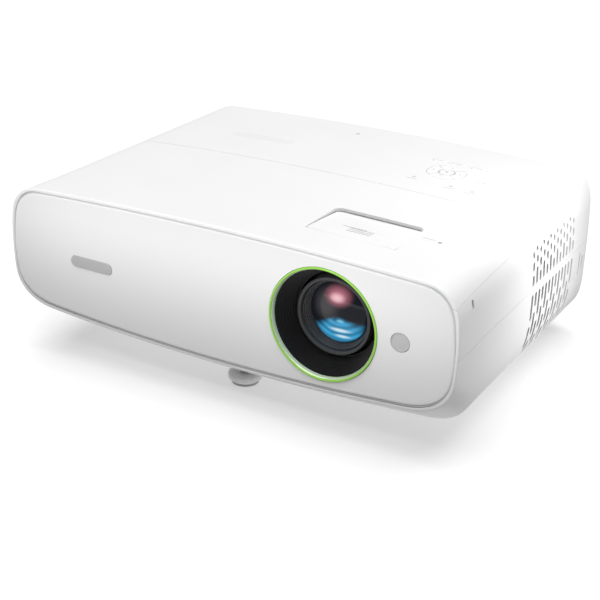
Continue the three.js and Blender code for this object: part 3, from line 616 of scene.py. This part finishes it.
rear_tool = tool_slab(pill(**REAR_OPENING), "y", 108, 140)
feet_tools = [rod_tool(at[0], at[1], STEMS[name] + GAP, 0, 60) for name, at in FEET.items()]
corner_slots = [tool_slab(slot_outline(**slot), "x", 150, 190) for slot in CORNER_SLOTS]
lower_cuts = joined_tool(grille(LOWER_SLOTS, RIGHT_GRILLE) + grille(LEFT_LOWER_SLOTS, LEFT_GRILLE)
                         + feet_tools + corner_slots)
boolean(lower, lower_cuts)
boolean(lower, rear_tool)
lock_tool = tool_slab(slot_outline(**LOCK_SLOT), "x", 160, 190)
upper_cuts = joined_tool(
    grille(UPPER_SLOTS, RIGHT_GRILLE) + grille(LEFT_UPPER_SLOTS, LEFT_GRILLE)
    + [lock_tool, rod_tool(PAD["x"], PAD["y"], PAD["radius"] + 0.22, *TOP_CUT, 96)]
    + [tool_slab(key_outline(node, 0.2), "z", *TOP_CUT) for node in OBLONG_KEYS]
    + [rod_tool(x, y, LIGHT_RADIUS + 0.15, *TOP_CUT, 24) for x, y in LIGHTS])
boolean(upper, upper_cuts)
boolean(upper, rear_tool)
remove(lower_cuts, upper_cuts, rear_tool)

# Lens door and the opening that it slides back from
DOOR = {"left": 48.4, "right": 114.5, "front": -96, "back": -51, "corner": 5, "slope": 0.1, "thickness": 1.8,
        "rise": 0.038, "length": 53, "play": 0.4}
DOOR_MIDDLE = (DOOR["left"] + DOOR["right"]) / 2
DOOR_TOP = top_at(DOOR_MIDDLE)
DOOR_TILT = (top_at(DOOR["right"]) - top_at(DOOR["left"])) / (DOOR["right"] - DOOR["left"])


def door_height(x, y):
    return DOOR_TOP + DOOR_TILT * (x - DOOR_MIDDLE) - DOOR["slope"] * (y - DOOR["front"])


def over_door(piece_points):
    """Points given as x, y and height above the door's top face."""
    x, y, h = np.asarray(piece_points, float).T
    return np.stack((x, y, h + door_height(x, y)), axis=1)


def door_slab(name, outline, low, high, material, body, edge=0.0):
    made = slab(name, outline, "z", low, high, material, None, edge)
    flat = np.array([v.co for v in made.data.vertices]) / MM
    for vertex, place in zip(made.data.vertices, over_door(flat) * MM):
        vertex.co = place
    if body:
        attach(made, body)
    return made


corner = DOOR["corner"]
opening = np.array([(DOOR["left"], DOOR["front"]), (DOOR["right"], DOOR["front"])]
                   + arc(DOOR["right"] - corner, DOOR["back"] - corner, corner, 0, math.pi / 2, 10)
                   + arc(DOOR["left"] + corner, DOOR["back"] - corner, corner, math.pi / 2, math.pi, 10))
opening_tool = tool_slab(opening, "z", 100, 150)
boolean(cover, opening_tool)
remove(opening_tool)
for piece, node in ((lower, "lower_case"), (upper, "upper_case"), (cover, "top_cover")):
    shade(piece.data, 38)
    weighted(piece)
    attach(piece, "root")
    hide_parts(node)


def raise_face(piece):
    """The door thickens to the back, so that its top face lies close under the cover there."""
    for vertex in piece.data.vertices:
        x, y, z = vertex.co / MM
        if z - door_height(x, y) > -0.9:
            vertex.co.z += DOOR["rise"] * (y - DOOR["front"]) * MM


tray_low = -DOOR["thickness"] - GAP
tray_outline = pill(DOOR["left"] - 2.6, DOOR["right"] + 2.6, DOOR["front"] - 2, -6, 2)
tray = door_slab("door_tray", tray_outline, tray_low - 1.7, tray_low, "shell", None)
window = door_slab("tool", pill(DOOR["left"] + 7, DOOR["right"] - 7, DOOR["front"] + 4, DOOR["back"] - 7, 3),
                   -20, 20, "shell", None)
boolean(tray, window)
shade(tray.data, 35)
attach(tray, "root")
remove(window)
play, door_front = DOOR["play"], DOOR["front"] + DOOR["play"]
door_outline = pill(DOOR["left"] + play, DOOR["right"] - play, door_front, door_front + DOOR["length"],
                    1.2, 5)
door = door_slab("lens_door_panel", door_outline, -DOOR["thickness"], 0, "shell", None, 0.35)
GRIP_ROWS = [DOOR["front"] + 12 + row * 3 for row in range(3)]
grips = joined_tool([door_slab("tool", pill(72, 90, y, y + 1.2, 0.55, 5), -0.6, 2, "shell", None)
                     for y in GRIP_ROWS])
raise_face(door)
raise_face(grips)
boolean(door, grips)
remove(grips)
shade(door.data, 35)
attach(door, "lens_door")
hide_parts("lens_door")

# Bosses that the screw feet turn in, inside the lower shell
BOSS_TOP = 46
bosses = []
for name, at in FEET.items():
    outer, inner = STEMS[name] + 4, STEMS[name] + GAP
    boss_profile = [(inner, BOTTOM_Z + WALL), (outer, BOTTOM_Z + WALL), (outer, BOSS_TOP - 0.6),
                    (outer - 0.6, BOSS_TOP), (inner, BOSS_TOP)]
    bosses.append(lathe("boss", "z", at[:2], boss_profile, "shell", None, 48))
boss_set = joined_tool(bosses)
boss_set.name = "foot_bosses"
shade(boss_set.data, 35)
boss_set.data.materials.append(MATERIALS["shell"])
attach(boss_set, "root")

# Front panel, slightly bowed, with a bevelled edge
PANEL_INSET = WALL + 0.5
PANEL_FRONT = panel_low[1]
PANEL_BACK = panel_high[1]
BADGE = centre_mm("front_badge")
BADGE_SIZE = size_mm("front_badge")[[0, 2]]
IR_RADIUS = 6.5


def panel_bow(x, z):
    """How far the face lies behind its highest line: it bows a little across and down its height."""
    return 0.5 * (x / HALF_WIDTH) ** 2 + 1.1 * np.clip((112 - z) / 78, 0, 1) ** 2


def front_loop(ring, depth, bowed=True):
    """A ring of (x, z) points at a depth behind the panel's face."""
    bow = panel_bow(ring[:, 0], ring[:, 1]) * bowed
    return np.column_stack((ring[:, 0], PANEL_FRONT + depth + bow, ring[:, 1]))


def badge_pill(grow, radius):
    wide, tall = BADGE_SIZE / 2 + grow
    return pill(BADGE[0] - wide, BADGE[0] + wide, BADGE[2] - tall, BADGE[2] + tall, radius)


outline = whole(panel_half(PANEL_INSET))
gaps = np.linalg.norm(outline - np.roll(outline, 1, axis=0), axis=1)
outline = outline[gaps > 1e-3]
centre_point = np.array([0, CENTRE_Z])
loops = [front_loop(outline, PANEL_BACK - PANEL_FRONT, bowed=False), front_loop(outline, 1.5)]
for inset, depth in [(0.12, 0.95), (0.45, 0.45), (0.95, 0.12), (1.6, 0)]:
    edge_ring = inset_outline(outline, inset)
    loops.append(front_loop(edge_ring, depth))
for share in (0.985, 0.96, 0.92, 0.86, 0.78, 0.68, 0.56, 0.42, 0.28, 0.14, 0.05):
    loops.append(front_loop(centre_point + (edge_ring - centre_point) * share, 0))
points, faces = rings(loops, cap_start=True, cap_end=True)
panel = mesh_piece("front_plate", points, faces, "front", None)
panel_cuts = joined_tool([
    tool_slab(disc(LENS[0], LENS[2], RING_RADIUS + 0.25, 160), "y", *FRONT_CUT),
    tool_slab(disc(IR[0], IR[2], IR_RADIUS + 0.2, 64), "y", *FRONT_CUT),
    tool_slab(badge_pill(0.2, BADGE_SIZE[1] / 2), "y", -140, PANEL_FRONT + 0.7),
])
boolean(panel, panel_cuts)
remove(panel_cuts)
shade(panel.data, 30)
weighted(panel)
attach(panel, "root")
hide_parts("front_panel")

# A grey strip fills the narrow gap between the front plate and the case's lip. Its grey is painted shade, the
# shade line that the gap shows.
GAP_STRIP_SECTION = ((-0.75, 2.4), (-0.75, 0.6), (-0.03, 0.6), (-0.03, 2.4))
loops = [front_loop(inset_outline(outline, inset), depth) for inset, depth in GAP_STRIP_SECTION]
points, faces = rings(loops + loops[:1])
gap_shade_strip = mesh_piece("panel_gap_shade_strip", points, faces, "gap_shade_strip")

badge = slab("badge_plate", badge_pill(0, BADGE_SIZE[1] / 2 - 0.1), "y", PANEL_FRONT + 0.5,
             PANEL_FRONT - 0.25, "badge", edge=0.35)
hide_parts("front_badge")

# Infrared window: a shallow dome with a moulded rim
ir_profile = raised(PANEL_FRONT, [(6.45, 4), (6.45, 1.0), (6.3, 0.65), (5.9, 0.5), (5.4, 0.75), (3.6, 0.62),
                                  (1.8, 0.55), (0.02, 0.52), (0.02, 4)])
ir = lathe("ir_lens", "y", (IR[0], IR[2]), ir_profile, "ir_plastic", steps=64)
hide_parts("ir_window")

# Lens: trim ring, finely stepped hood, barrel, cell and glass with painted reflections
lens_axis = (LENS[0], LENS[2])
ring_front, ring_back = [corner[1] for corner in box_mm("lens_trim_ring")]
outer = RING_RADIUS
trim = lathe("green_ring", "y", lens_axis, [
    (outer - 1.5, ring_front + 0.75), (outer - 1.4, ring_front + 0.3), (outer - 1.1, ring_front + 0.05),
    (outer - 0.75, ring_front), (outer - 0.4, ring_front + 0.08), (outer - 0.12, ring_front + 0.35),
    (outer, ring_front + 0.8), (outer, ring_back), (outer - 1.5, ring_back)], "green_trim", steps=220)
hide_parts("lens_trim_ring")
inner_trim = lathe("ring_bevel", "y", lens_axis, [
    (outer - 1.55, ring_front + 0.9), (outer - 1.6, ring_back), (outer - 2.3, ring_back),
    (outer - 2.15, ring_front + 2.0), (outer - 1.85, ring_front + 1.2)], "trim_inner", steps=220)

HOOD_FRONT, HOOD_DEPTH, HOOD_STEPS = -125.6, 17.4, 14
hood_out, hood_in = outer - 2.3, 30.6
profile = [(outer, HOOD_FRONT)]
for i in range(HOOD_STEPS):
    radius = hood_out - (hood_out - hood_in) * i / (HOOD_STEPS - 1)
    along, pitch = HOOD_FRONT + HOOD_DEPTH * i / HOOD_STEPS, HOOD_DEPTH / HOOD_STEPS
    profile += [(radius, along + 0.02), (radius - 0.12, along + 0.12), (radius - 0.12, along + pitch * 0.55),
                (radius + 0.1, along + pitch * 0.62), (radius + 0.1, along + pitch * 0.98)]
profile += [(hood_in - 1.2, HOOD_FRONT + HOOD_DEPTH), (hood_in, HOOD_FRONT + HOOD_DEPTH + 1.1),
            (outer, HOOD_FRONT + 6)]
hood = lathe("ribbed_hood", "y", lens_axis, profile, "black_plastic", steps=220, smooth=25)
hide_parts("lens_hood")

BARREL_FRONT = box_mm("lens_barrel")[0][1]
barrel = lathe("barrel_tube", "y", lens_axis, [
    (24.6, BARREL_FRONT + 1.0), (24.75, BARREL_FRONT + 0.35), (25.2, BARREL_FRONT), (26.3, BARREL_FRONT),
    (26.85, BARREL_FRONT + 0.2), (27.1, BARREL_FRONT + 0.7), (27.1, -46.6), (35.6, -46.4), (36, -46),
    (36, -38.7), (35.6, -38.3), (17.3, -38.3), (17, -38.6), (17, -50), (24.6, -52)], "edge_black", steps=180)
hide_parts("lens_barrel")

cell_low, cell_high = box_mm("front_lens_cell")
CELL_FRONT, CELL_RADIUS = cell_low[1], 24.2
cell_profile = [(CELL_RADIUS, cell_high[1]), (CELL_RADIUS, CELL_FRONT + 0.4),
                (CELL_RADIUS - 0.35, CELL_FRONT)]
for i in range(4):
    radius, along = 23.5 - 0.47 * i, CELL_FRONT + 1.5 * i
    cell_profile += [(radius, along + 0.05), (radius - 0.1, along + 0.25), (radius - 0.1, along + 1.3),
                     (radius - 0.3, along + 1.5)]
cell_profile += [(21.55, -105.2), (21.55, -99.6), (18.5, -99.6), (18.5, cell_high[1])]
cell = lathe("lens_cell", "y", lens_axis, cell_profile, "edge_black", "front_group", 180, 20)
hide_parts("front_lens_cell")

GLASS_RADIUS = size_mm("front_lens_glass")[0] / 2


# Each painted reflection or highlight patch: its colour, then its place and its half width and height, in
# glass radii
GLASS_REFLECTION_PATCHES = (
    ((0.75, 0.93, 1.0), (0.14, -0.5, 0.5, 0.1)), ((0.7, 0.92, 1.0), (0.2, -0.72, 0.36, 0.09)),
    ((0.2, 0.62, 0.85), (0.16, -0.18, 0.2, 0.09)), ((0.6, 0.2, 0.27), (0.02, 0.6, 0.58, 0.42)),
    ((1.0, 0.62, 0.66), (0.0, 0.55, 0.34, 0.2)))


def painted_reflection_glass():
    """Dark glass with painted coating reflections and highlights: a blue fan of arcs low down and a rose
    patch high up, over near black. They are emitted, so the glass glows with them.
    """
    made, nodes, links = new_material("painted_reflection_glass")
    shader = nodes["Principled BSDF"]
    coords = nodes.new("ShaderNodeTexCoord")
    place = nodes.new("ShaderNodeMapping")
    set_inputs(place, {"Location": (-LENS[0] / GLASS_RADIUS, 0, -LENS[2] / GLASS_RADIUS),
                       "Scale": (1 / (GLASS_RADIUS * MM),) * 3})
    links.new(coords.outputs["Object"], place.inputs["Vector"])
    split = nodes.new("ShaderNodeSeparateXYZ")
    links.new(place.outputs["Vector"], split.inputs["Vector"])

    def math_node(operation, *values):
        node = nodes.new("ShaderNodeMath")
        node.operation = operation
        for socket, value in zip(node.inputs, values):
            if isinstance(value, (int, float)):
                socket.default_value = value
            else:
                links.new(value, socket)
        return node.outputs["Value"]

    def ramp(value, low, high):
        node = nodes.new("ShaderNodeMapRange")
        node.interpolation_type = "SMOOTHSTEP"
        set_inputs(node, {"From Min": low, "From Max": high})
        links.new(value, node.inputs["Value"])
        return node.outputs["Result"]

    def reach(x, z, wide, tall):
        """Distance from (x, z) in glass radii, measured so that an ellipse wide by tall is at 1."""
        across = math_node("DIVIDE", math_node("SUBTRACT", split.outputs["X"], x), wide)
        up = math_node("DIVIDE", math_node("SUBTRACT", split.outputs["Z"], z), tall)
        return math_node("SQRT", math_node("ADD", math_node("MULTIPLY", across, across),
                                           math_node("MULTIPLY", up, up)))

    def patch(x, z, wide, tall):
        return ramp(reach(x, z, wide, tall), 1.0, 0.1)

    def blend(below, color, factor):
        node = nodes.new("ShaderNodeMix")
        node.data_type = "RGBA"
        if isinstance(below, tuple):
            node.inputs["A"].default_value = (*below, 1)
        else:
            links.new(below, node.inputs["A"])
        node.inputs["B"].default_value = (*color, 1)
        links.new(factor, node.inputs["Factor"])
        return node.outputs["Result"]

    smudge = nodes.new("ShaderNodeTexNoise")
    smudge.inputs["Scale"].default_value = 2.2
    links.new(place.outputs["Vector"], smudge.inputs["Vector"])
    radius = reach(0, 0, 1, 1)
    down = math_node("DIVIDE", math_node("SUBTRACT", math_node("MULTIPLY", split.outputs["X"], 0.16),
                                         split.outputs["Z"]), math_node("MAXIMUM", radius, 0.01))
    fan = math_node("MULTIPLY", ramp(down, 0.3, 0.8), ramp(radius, 0.02, 0.35))
    arcs = ramp(math_node("SINE", math_node("MULTIPLY", reach(0.12, 0.5, 1, 1), 26)), -0.9, 0.9)
    arcs = math_node("MULTIPLY", fan, math_node("ADD", 0.35, math_node("MULTIPLY", arcs, 0.65)))
    rim = ramp(radius, 1.0, 0.9)
    # Painted reflections: a grey smudge, a blue fan with arcs, then the listed patches and highlights.
    color = blend((0.006, 0.007, 0.01), (0.07, 0.065, 0.07), patch(-0.35, 0.25, 0.6, 0.7))
    color = blend(color, (0.02, 0.16, 0.3), math_node("MULTIPLY", fan, rim))
    color = blend(color, (0.06, 0.42, 0.75), math_node("MULTIPLY", arcs, rim))
    for tint, area in GLASS_REFLECTION_PATCHES:
        color = blend(color, tint, patch(*area))
    shader.inputs["Base Color"].default_value = (0.004, 0.005, 0.008, 1)
    # The painted reflections are given as emission: the glass glows with them, though it is no lamp.
    links.new(color, shader.inputs["Emission Color"])
    set_inputs(shader, {"Emission Strength": 0.85, "Specular IOR Level": 0.2, "Coat Weight": 0.25,
                        "Coat Roughness": 0.03})
    rough = nodes.new("ShaderNodeMapRange")
    set_inputs(rough, {"To Min": 0.04, "To Max": 0.1})
    links.new(smudge.outputs["Fac"], rough.inputs["Value"])
    links.new(rough.outputs["Result"], shader.inputs["Roughness"])
    height = nodes.new("ShaderNodeBump")
    height.inputs["Distance"].default_value = 0.002 * MM
    links.new(smudge.outputs["Fac"], height.inputs["Height"])
    links.new(height.outputs["Normal"], shader.inputs["Normal"])
    return made


MATERIALS["painted_reflection_glass"] = painted_reflection_glass()
DOME_ANGLE = 1.0
dome = [(GLASS_RADIUS * math.sin(t) / math.sin(DOME_ANGLE),
         -105.6 - 5.4 * (math.cos(t) - math.cos(DOME_ANGLE)) / (1 - math.cos(DOME_ANGLE)))
        for t in np.linspace(0, DOME_ANGLE, 14)]
dome[0] = (0.02, dome[0][1])
glass_profile = dome + [(GLASS_RADIUS, -100), (12, -101.6), (0.02, -102.4)]
glass = lathe("front_element", "y", lens_axis, glass_profile, "painted_reflection_glass", "front_group", 160)
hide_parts("front_lens_glass")

# Keys
KEY_BOTTOM = box_mm("ok_key")[0][2]
KEY_DROP = 0.15
PRINT_RISE = 0.012


def key_cap(node, outline, height, edge=0.45):
    made = slab(node + "_cap", outline, "z", KEY_BOTTOM, height, "key_plastic", node, edge)
    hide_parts(node)


def key_mark(node, name, outline, height):
    made = slab(name, outline, "z", height - 0.3, height + PRINT_RISE, "print", node)


for node in OBLONG_KEYS:
    low, high = OBLONG_KEYS[node]
    height = high[2] - KEY_DROP
    key_cap(node, key_outline(node), height)
    x, y = ((low + high) / 2)[:2]
    key_mark(node, node + "_mark", pill(x - 2.6, x + 2.6, y - 0.5, y + 0.5, 0.48, 4), height)

ARROWS = {"right_key": 0, "up_key": math.pi / 2, "left_key": math.pi, "down_key": 1.5 * math.pi}
ARROW_INNER_RADIUS, ARROW_TIP_RADIUS = 6.4, 11.6


def quarter_arc(radius, angle, steps):
    """An arrow key's inner or outer edge, counter-clockwise."""
    reach = math.pi / 4 - math.asin(PAD["gap"] / 2 / radius)
    return arc(PAD["x"], PAD["y"], radius, angle - reach, angle + reach, steps)


for node, angle in ARROWS.items():
    quarter = quarter_arc(PAD["radius"], angle, 26) + quarter_arc(ARROW_INNER_RADIUS, angle, 14)[::-1]
    height = box_mm(node)[1][2] - KEY_DROP
    key_cap(node, np.array(quarter), height)
    along = np.array([math.cos(angle), math.sin(angle)])
    across = np.array([-math.sin(angle), math.cos(angle)])
    tip = np.array([PAD["x"], PAD["y"]]) + along * ARROW_TIP_RADIUS
    chevron = [tip, tip - along * 2.2 + across * 1.9, tip - along * 1.3, tip - along * 2.2 - across * 1.9]
    key_mark(node, node + "_mark", np.array(chevron), height)
ok_height = box_mm("ok_key")[1][2] - KEY_DROP
key_cap("ok_key", disc(PAD["x"], PAD["y"], 5.6, 72), ok_height, 0.5)
key_mark("ok_key", "ok_key_mark", disc(PAD["x"], PAD["y"], 1.5, 32), ok_height)

# Prints on the case: thin generic marks that follow the crowned top


def top_mark(name, left, right, y, width, material="print"):
    count = max(8, int((right - left) / 2))
    loops = []
    for x in left + (right - left) * (1 - np.cos(np.linspace(0.02, math.pi - 0.02, count))) / 2:
        round_end = max(0.0, width / 2 - min(x - left, right - x))
        half = math.sqrt(max(0.02, (width / 2) ** 2 - round_end ** 2))
        z = top_at(x)
        loops.append(np.array([(x, y - half, z - 0.2), (x, y + half, z - 0.2), (x, y + half, z + PRINT_RISE),
                               (x, y - half, z + PRINT_RISE)]))
    made_points, made_faces = rings(loops, cap_start=True, cap_end=True)
    made = mesh_piece(name, made_points, made_faces, material)


top_mark("top_bar", -105, -49, 56.5, 10, "light_print")
top_mark("corner_bar", -145, -131, -100, 1.4, "light_print")
top_mark("corner_dot", -126, -123, -100, 3.0, "light_print")
top_mark("light_sensor", -20.1, -16.5, 105.3, 3.4)
for i, (x, y) in enumerate(LIGHTS):
    top_mark(f"indicator_label_{i + 1}", x - 4.4, x + 4.4, y - 4.2, 0.9)
top_mark("cover_dash_1", 119.5, 128.5, -66, 0.9)
top_mark("cover_dash_2", 119.5, 126, -69.5, 0.8, "light_print")
top_mark("cover_square", 131, 133.6, -67.5, 2.6, "dark_print")


def door_mark(name, left, right, y, width, material):
    outline = pill(left, right, y - width / 2, y + width / 2, width / 2 - 0.02, 5)
    made = door_slab(name, outline, -0.2, PRINT_RISE, material, "lens_door")
    raise_face(made)


door_mark("door_dash", 66, 84, -76, 1.5, "print")
door_mark("door_dash_faint", 88, 97, -76, 1.0, "light_print")

# A filter sheet close behind the right grille
FILTER_Z = (27, 113)


def filter_strip(y, inset):
    loop = case_loop(y, inset)
    keep = (loop[:, 0] > 120) & (loop[:, 2] > FILTER_Z[0]) & (loop[:, 2] < FILTER_Z[1])
    strip = loop[keep]
    return strip[np.argsort(strip[:, 2])]


sections = []
for y in np.linspace(-3, 86, 24):
    outer_strip, inner_strip = filter_strip(y, WALL + 0.9), filter_strip(y, WALL + 1.7)
    count = 30
    levels_z = np.linspace(FILTER_Z[0] + 3, FILTER_Z[1] - 3, count)
    ring = [(np.interp(z, strip[:, 2], strip[:, 0]), y, z) for strip, zs in ((outer_strip, levels_z),
            (inner_strip, levels_z[::-1])) for z in zs]
    sections.append(np.array(ring))
points, faces = rings(sections, cap_start=True, cap_end=True)
screen = mesh_piece("intake_filter", points, faces, "filter")

# Feet: a knurled wheel over a rubber pad
for name, at in FEET.items():
    radius = size_mm(name)[0] / 2
    ribs = 46 if name == "front_foot" else 36

    def knurl(angles, around, along, radius=radius, ribs=ribs):
        return -0.45 * (0.5 + 0.5 * np.cos(angles * ribs)) ** 2 * (around > radius - 0.6)

    wheel = lathe(name + "_wheel", "z", at[:2], [
        (0.02, 2.2), (radius - 2.2, 2.2), (radius - 0.9, 3.2), (radius - 0.3, 3.5), (radius, 3.9),
        (radius, 6.9), (radius - 0.3, 7.4), (radius - 0.9, 7.7), (radius - 3.5, 7.8), (0.02, 7.8)],
        "foot_wheel", name, ribs * 8, 40, knurl)
    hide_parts(name)
    lathe(name + "_rubber", "z", at[:2], [
        (0.02, 0), (radius - 3.2, 0), (radius - 2.6, 0.2), (radius - 2.3, 0.7), (radius - 2.3, 2.15),
        (0.02, 2.15)], "foot_rubber", name, 64)
    thread = []
    stem_low, stem_high = box_mm(name + "_stem")
    for z in np.arange(stem_low[2], stem_high[2] - 0.6, 0.7):
        thread += [(STEMS[name], z), (STEMS[name] - 0.35, z + 0.35)]
    stem = lathe(name + "_screw", "z", at[:2], [(0.02, stem_low[2])] + thread + [(0.02, stem_high[2])],
                 "motor_steel", name + "_stem", 48, 20)
    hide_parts(name + "_stem")

# Rear panel with its sockets
REAR_FACE = rear_high[1]
SOCKETS = {node: box_mm(node) for node in ("hdmi_sockets", "usb_socket", "vga_socket")}
inlet_low, inlet_high = box_mm("mains_inlet")
rear_plate = slab("rear_plate", pill(rear_low[0], rear_high[0], rear_low[2], rear_high[2], 2.2), "y",
                  rear_low[1], REAR_FACE, "rear_plastic", edge=0.3)
holes = [tool_slab(pill(low[0] - 0.25, high[0] + 0.25, low[2] - 0.25, high[2] + 0.25, 0.6, 4), "y", *REAR_CUT)
         for low, high in SOCKETS.values()]
inlet_mouth = pill(inlet_low[0] + 3.8, inlet_high[0] - 3.8, inlet_low[2] + 2.8, inlet_high[2] - 2.8, 1.2)
holes.append(tool_slab(inlet_mouth, "y", *REAR_CUT))
holes += [tool_slab(pill(-112 + i * 19, -97 + i * 19, 98, 102, 1.9), "y", *REAR_CUT) for i in range(12)]
AUDIO = (114, 68)
holes.append(tool_slab(disc(*AUDIO, 3.4), "y", *REAR_CUT))
SCREWS = [(-118, 36), (118, 36), (-118, 92), (118, 92), (-40, 36), (30, 36)]
rear_cuts = joined_tool(holes)
boolean(rear_plate, rear_cuts)
remove(rear_cuts)
shade(rear_plate.data, 35)
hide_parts("rear_panel")
rear_screw = raised(REAR_FACE, [(0.02, -0.4), (2.9, -0.4), (2.9, 0.3), (2.5, 0.8), (1.2, 0.95), (1.1, 0.3),
                                (0.02, 0.3)])
for i, place in enumerate(SCREWS):
    screw = lathe(f"rear_screw_{i + 1}", "y", place, rear_screw, "motor_steel", steps=40)
audio_profile = raised(REAR_FACE, [(1.8, -10), (3.2, -10), (3.2, 1.4), (2.9, 1.7), (2.0, 1.7), (1.8, 1.4)])
audio = lathe("audio_jack", "y", AUDIO, audio_profile, "inlet_plastic", steps=48)
TONGUES = {"hdmi_sockets": {"at": [(90, 67), (90, 77)], "wide": 10.6, "tall": 1.2},
           "usb_socket": {"at": [(56, 67)], "wide": 9.4, "tall": 1.8},
           "vga_socket": {"at": [(14, 70)], "wide": 14, "tall": 6}}
for node, tongue in TONGUES.items():
    low, high = SOCKETS[node]
    for i, (x, z) in enumerate(tongue["at"]):
        half_wide, half_tall = tongue["wide"] / 2, tongue["tall"] / 2
        tongue_outline = pill(x - half_wide, x + half_wide, z - half_tall, z + half_tall, 0.5, 4)
        plate = slab(f"{node}_tongue_{i + 1}", tongue_outline, "y", low[1] + 2.5, high[1] - 1.5,
                     "inlet_plastic", edge=0.2)
vga_face = SOCKETS["vga_socket"][1][1]
for i, x in enumerate((14 - 12.5, 14 + 12.5)):
    post = slab(f"vga_nut_{i + 1}", disc(x, 70, 2.6, 6), "y", vga_face - 0.4, vga_face + 1.8, "socket_steel",
                edge=0.3)

# Underside: screw heads in the bottom wall
base_screw = raised(BOTTOM_Z, [(0.02, 1), (3.2, 1), (3.2, -0.02), (2.8, -0.3), (1.3, -0.4), (1.2, 0.4),
                               (0.02, 0.4)])
for i, place in enumerate([(-120, -60), (120, -60), (-110, 96), (110, 96), (0, 40), (60, -20)]):
    screw = lathe(f"base_screw_{i + 1}", "z", place, base_screw, "motor_steel", steps=40)

# Finishes and soft edges on the CAD nodes that stay
BOARD_TOPS = {"power_board": 25.7, "ballast_board": 43.7, "main_board": 61.7, "keypad_board": 140,
              "dmd_board": 140, "ir_board": 140}
finish_of = {row["node"]: row["material_slot"] for row in frame["record"]["subparts"]}
for node, thing in frame["nodes"].items():
    key = finish_of[node]
    material = MATERIALS[key]
    if node in BOARD_TOPS:
        material = surface(node + "_finish", (0.015, 0.12, 0.05), 0.4, grain=1.4, bump=0.03, shade=0.3,
                           above=(BOARD_TOPS[node], (0.05, 0.05, 0.055)))
    thing.data.materials.clear()
    thing.data.materials.append(material)
    if thing.hide_render:
        continue
    weld = thing.modifiers.new("weld", "WELD")
    weld.merge_threshold = 0.01 * MM
    soft = thing.modifiers.new("soft_edges", "BEVEL")
    soft.width = 0.25 * MM
    soft.segments = 2
    soft.limit_method = "ANGLE"
    soft.angle_limit = math.radians(40)
    soft.harden_normals = True

# Camera, floor and light
SUN_POWER = 3.65
FRONT_POWER = 0.14
SIDE_POWER = 0.25
SKY_POWER = 0.105
CAMERA_PLACE = Vector((0.4487, -0.8095, 0.4460))
camera_data = bpy.data.cameras.new("camera")
camera = placed("camera", camera_data)
bpy.context.scene.camera = camera
camera_data.lens = 80.31
camera_data.sensor_width = 36
camera_data.clip_start = 0.05
camera.location = CAMERA_PLACE
AZIMUTH, ELEVATION, ROLL = math.radians(29.44), math.radians(24.12), math.radians(1.41)
aim = Vector((-math.sin(AZIMUTH) * math.cos(ELEVATION), math.cos(AZIMUTH) * math.cos(ELEVATION),
              -math.sin(ELEVATION)))
facing = aim.to_track_quat("-Z", "Y").to_matrix().to_4x4()
camera.matrix_world = Matrix.Translation(CAMERA_PLACE) @ facing @ Matrix.Rotation(ROLL, 4, "Z")

scene = bpy.context.scene
scene.view_settings.view_transform = "Standard"
scene.view_settings.look = "None"

floor_mesh = bpy.data.meshes.new("floor")
FLOOR = 40
floor_mesh.from_pydata([(-FLOOR, -FLOOR, 0), (FLOOR, -FLOOR, 0), (FLOOR, FLOOR, 0), (-FLOOR, FLOOR, 0)], [],
                       [(0, 1, 2, 3)])
floor = placed("floor", floor_mesh)
light_table = surface("light_table", (0.48, 0.48, 0.48), 0.9, grain=3, bump=0.01, shade=0.0)
table_shader = light_table.node_tree.nodes["Principled BSDF"]
set_inputs(table_shader, {"Emission Color": (1, 1, 1, 1), "Emission Strength": 0.42})
floor_mesh.materials.append(light_table)
floor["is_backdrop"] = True


def area_light(name, place, target, size, power):
    data = bpy.data.lights.new(name, "AREA")
    data.shape = "RECTANGLE"
    data.size, data.size_y = size
    data.energy = power
    lamp = placed(name, data)
    lamp.location = place
    lamp.rotation_mode = "QUATERNION"
    lamp.rotation_quaternion = (Vector(target) - Vector(place)).to_track_quat("-Z", "Y")
    return lamp


# A soft sun from above makes the ground shadow. Strips level with the top shade the upright faces downwards.
sun_data = bpy.data.lights.new("overhead", "SUN")
sun_data.angle = math.radians(70)
sun_data.energy = SUN_POWER
sun = placed("overhead", sun_data)
sun.rotation_euler = (math.radians(-4), math.radians(-2), 0)
front_strip = area_light("front_strip", (0, -0.2, 0.128), (0, -0.13, 0.09), (0.4, 0.02), FRONT_POWER)
side_strip = area_light("side_strip", (0.27, 0.03, 0.108), (0.175, 0.03, 0.08), (0.02, 0.32), SIDE_POWER)
for strip in (front_strip, side_strip):
    strip.visible_camera = False
    strip.visible_glossy = False
# A grey card on the table round the projector keeps the table's light off the lower walls. The camera doesn't
# see it, and it casts no shadow.
CARD_OUTER, CARD_INNER, CARD_HEIGHT = (0.9, 0.9), (0.17, 0.125), 0.0005
card_points = [(x * sx, y * sy, CARD_HEIGHT) for x, y in (CARD_OUTER, CARD_INNER)
               for sx, sy in ((-1, -1), (1, -1), (1, 1), (-1, 1))]
card_faces = [(i, (i + 1) % 4, (i + 1) % 4 + 4, i + 4) for i in range(4)]
card_mesh = bpy.data.meshes.new("bounce_card")
card_mesh.from_pydata(card_points, [], card_faces)
card = placed("bounce_card", card_mesh)
card_mesh.materials.append(surface("grey_card", (0.38, 0.38, 0.38), 0.9, grain=3, bump=0.01, shade=0.0))
card.visible_camera = False
card.visible_shadow = False
card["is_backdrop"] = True

world = bpy.data.worlds.new("studio")
scene.world = world
world.use_nodes = True
world.node_tree.nodes["Background"].inputs["Color"].default_value = (1, 1, 1, 1)
world.node_tree.nodes["Background"].inputs["Strength"].default_value = SKY_POWER

low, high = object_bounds()
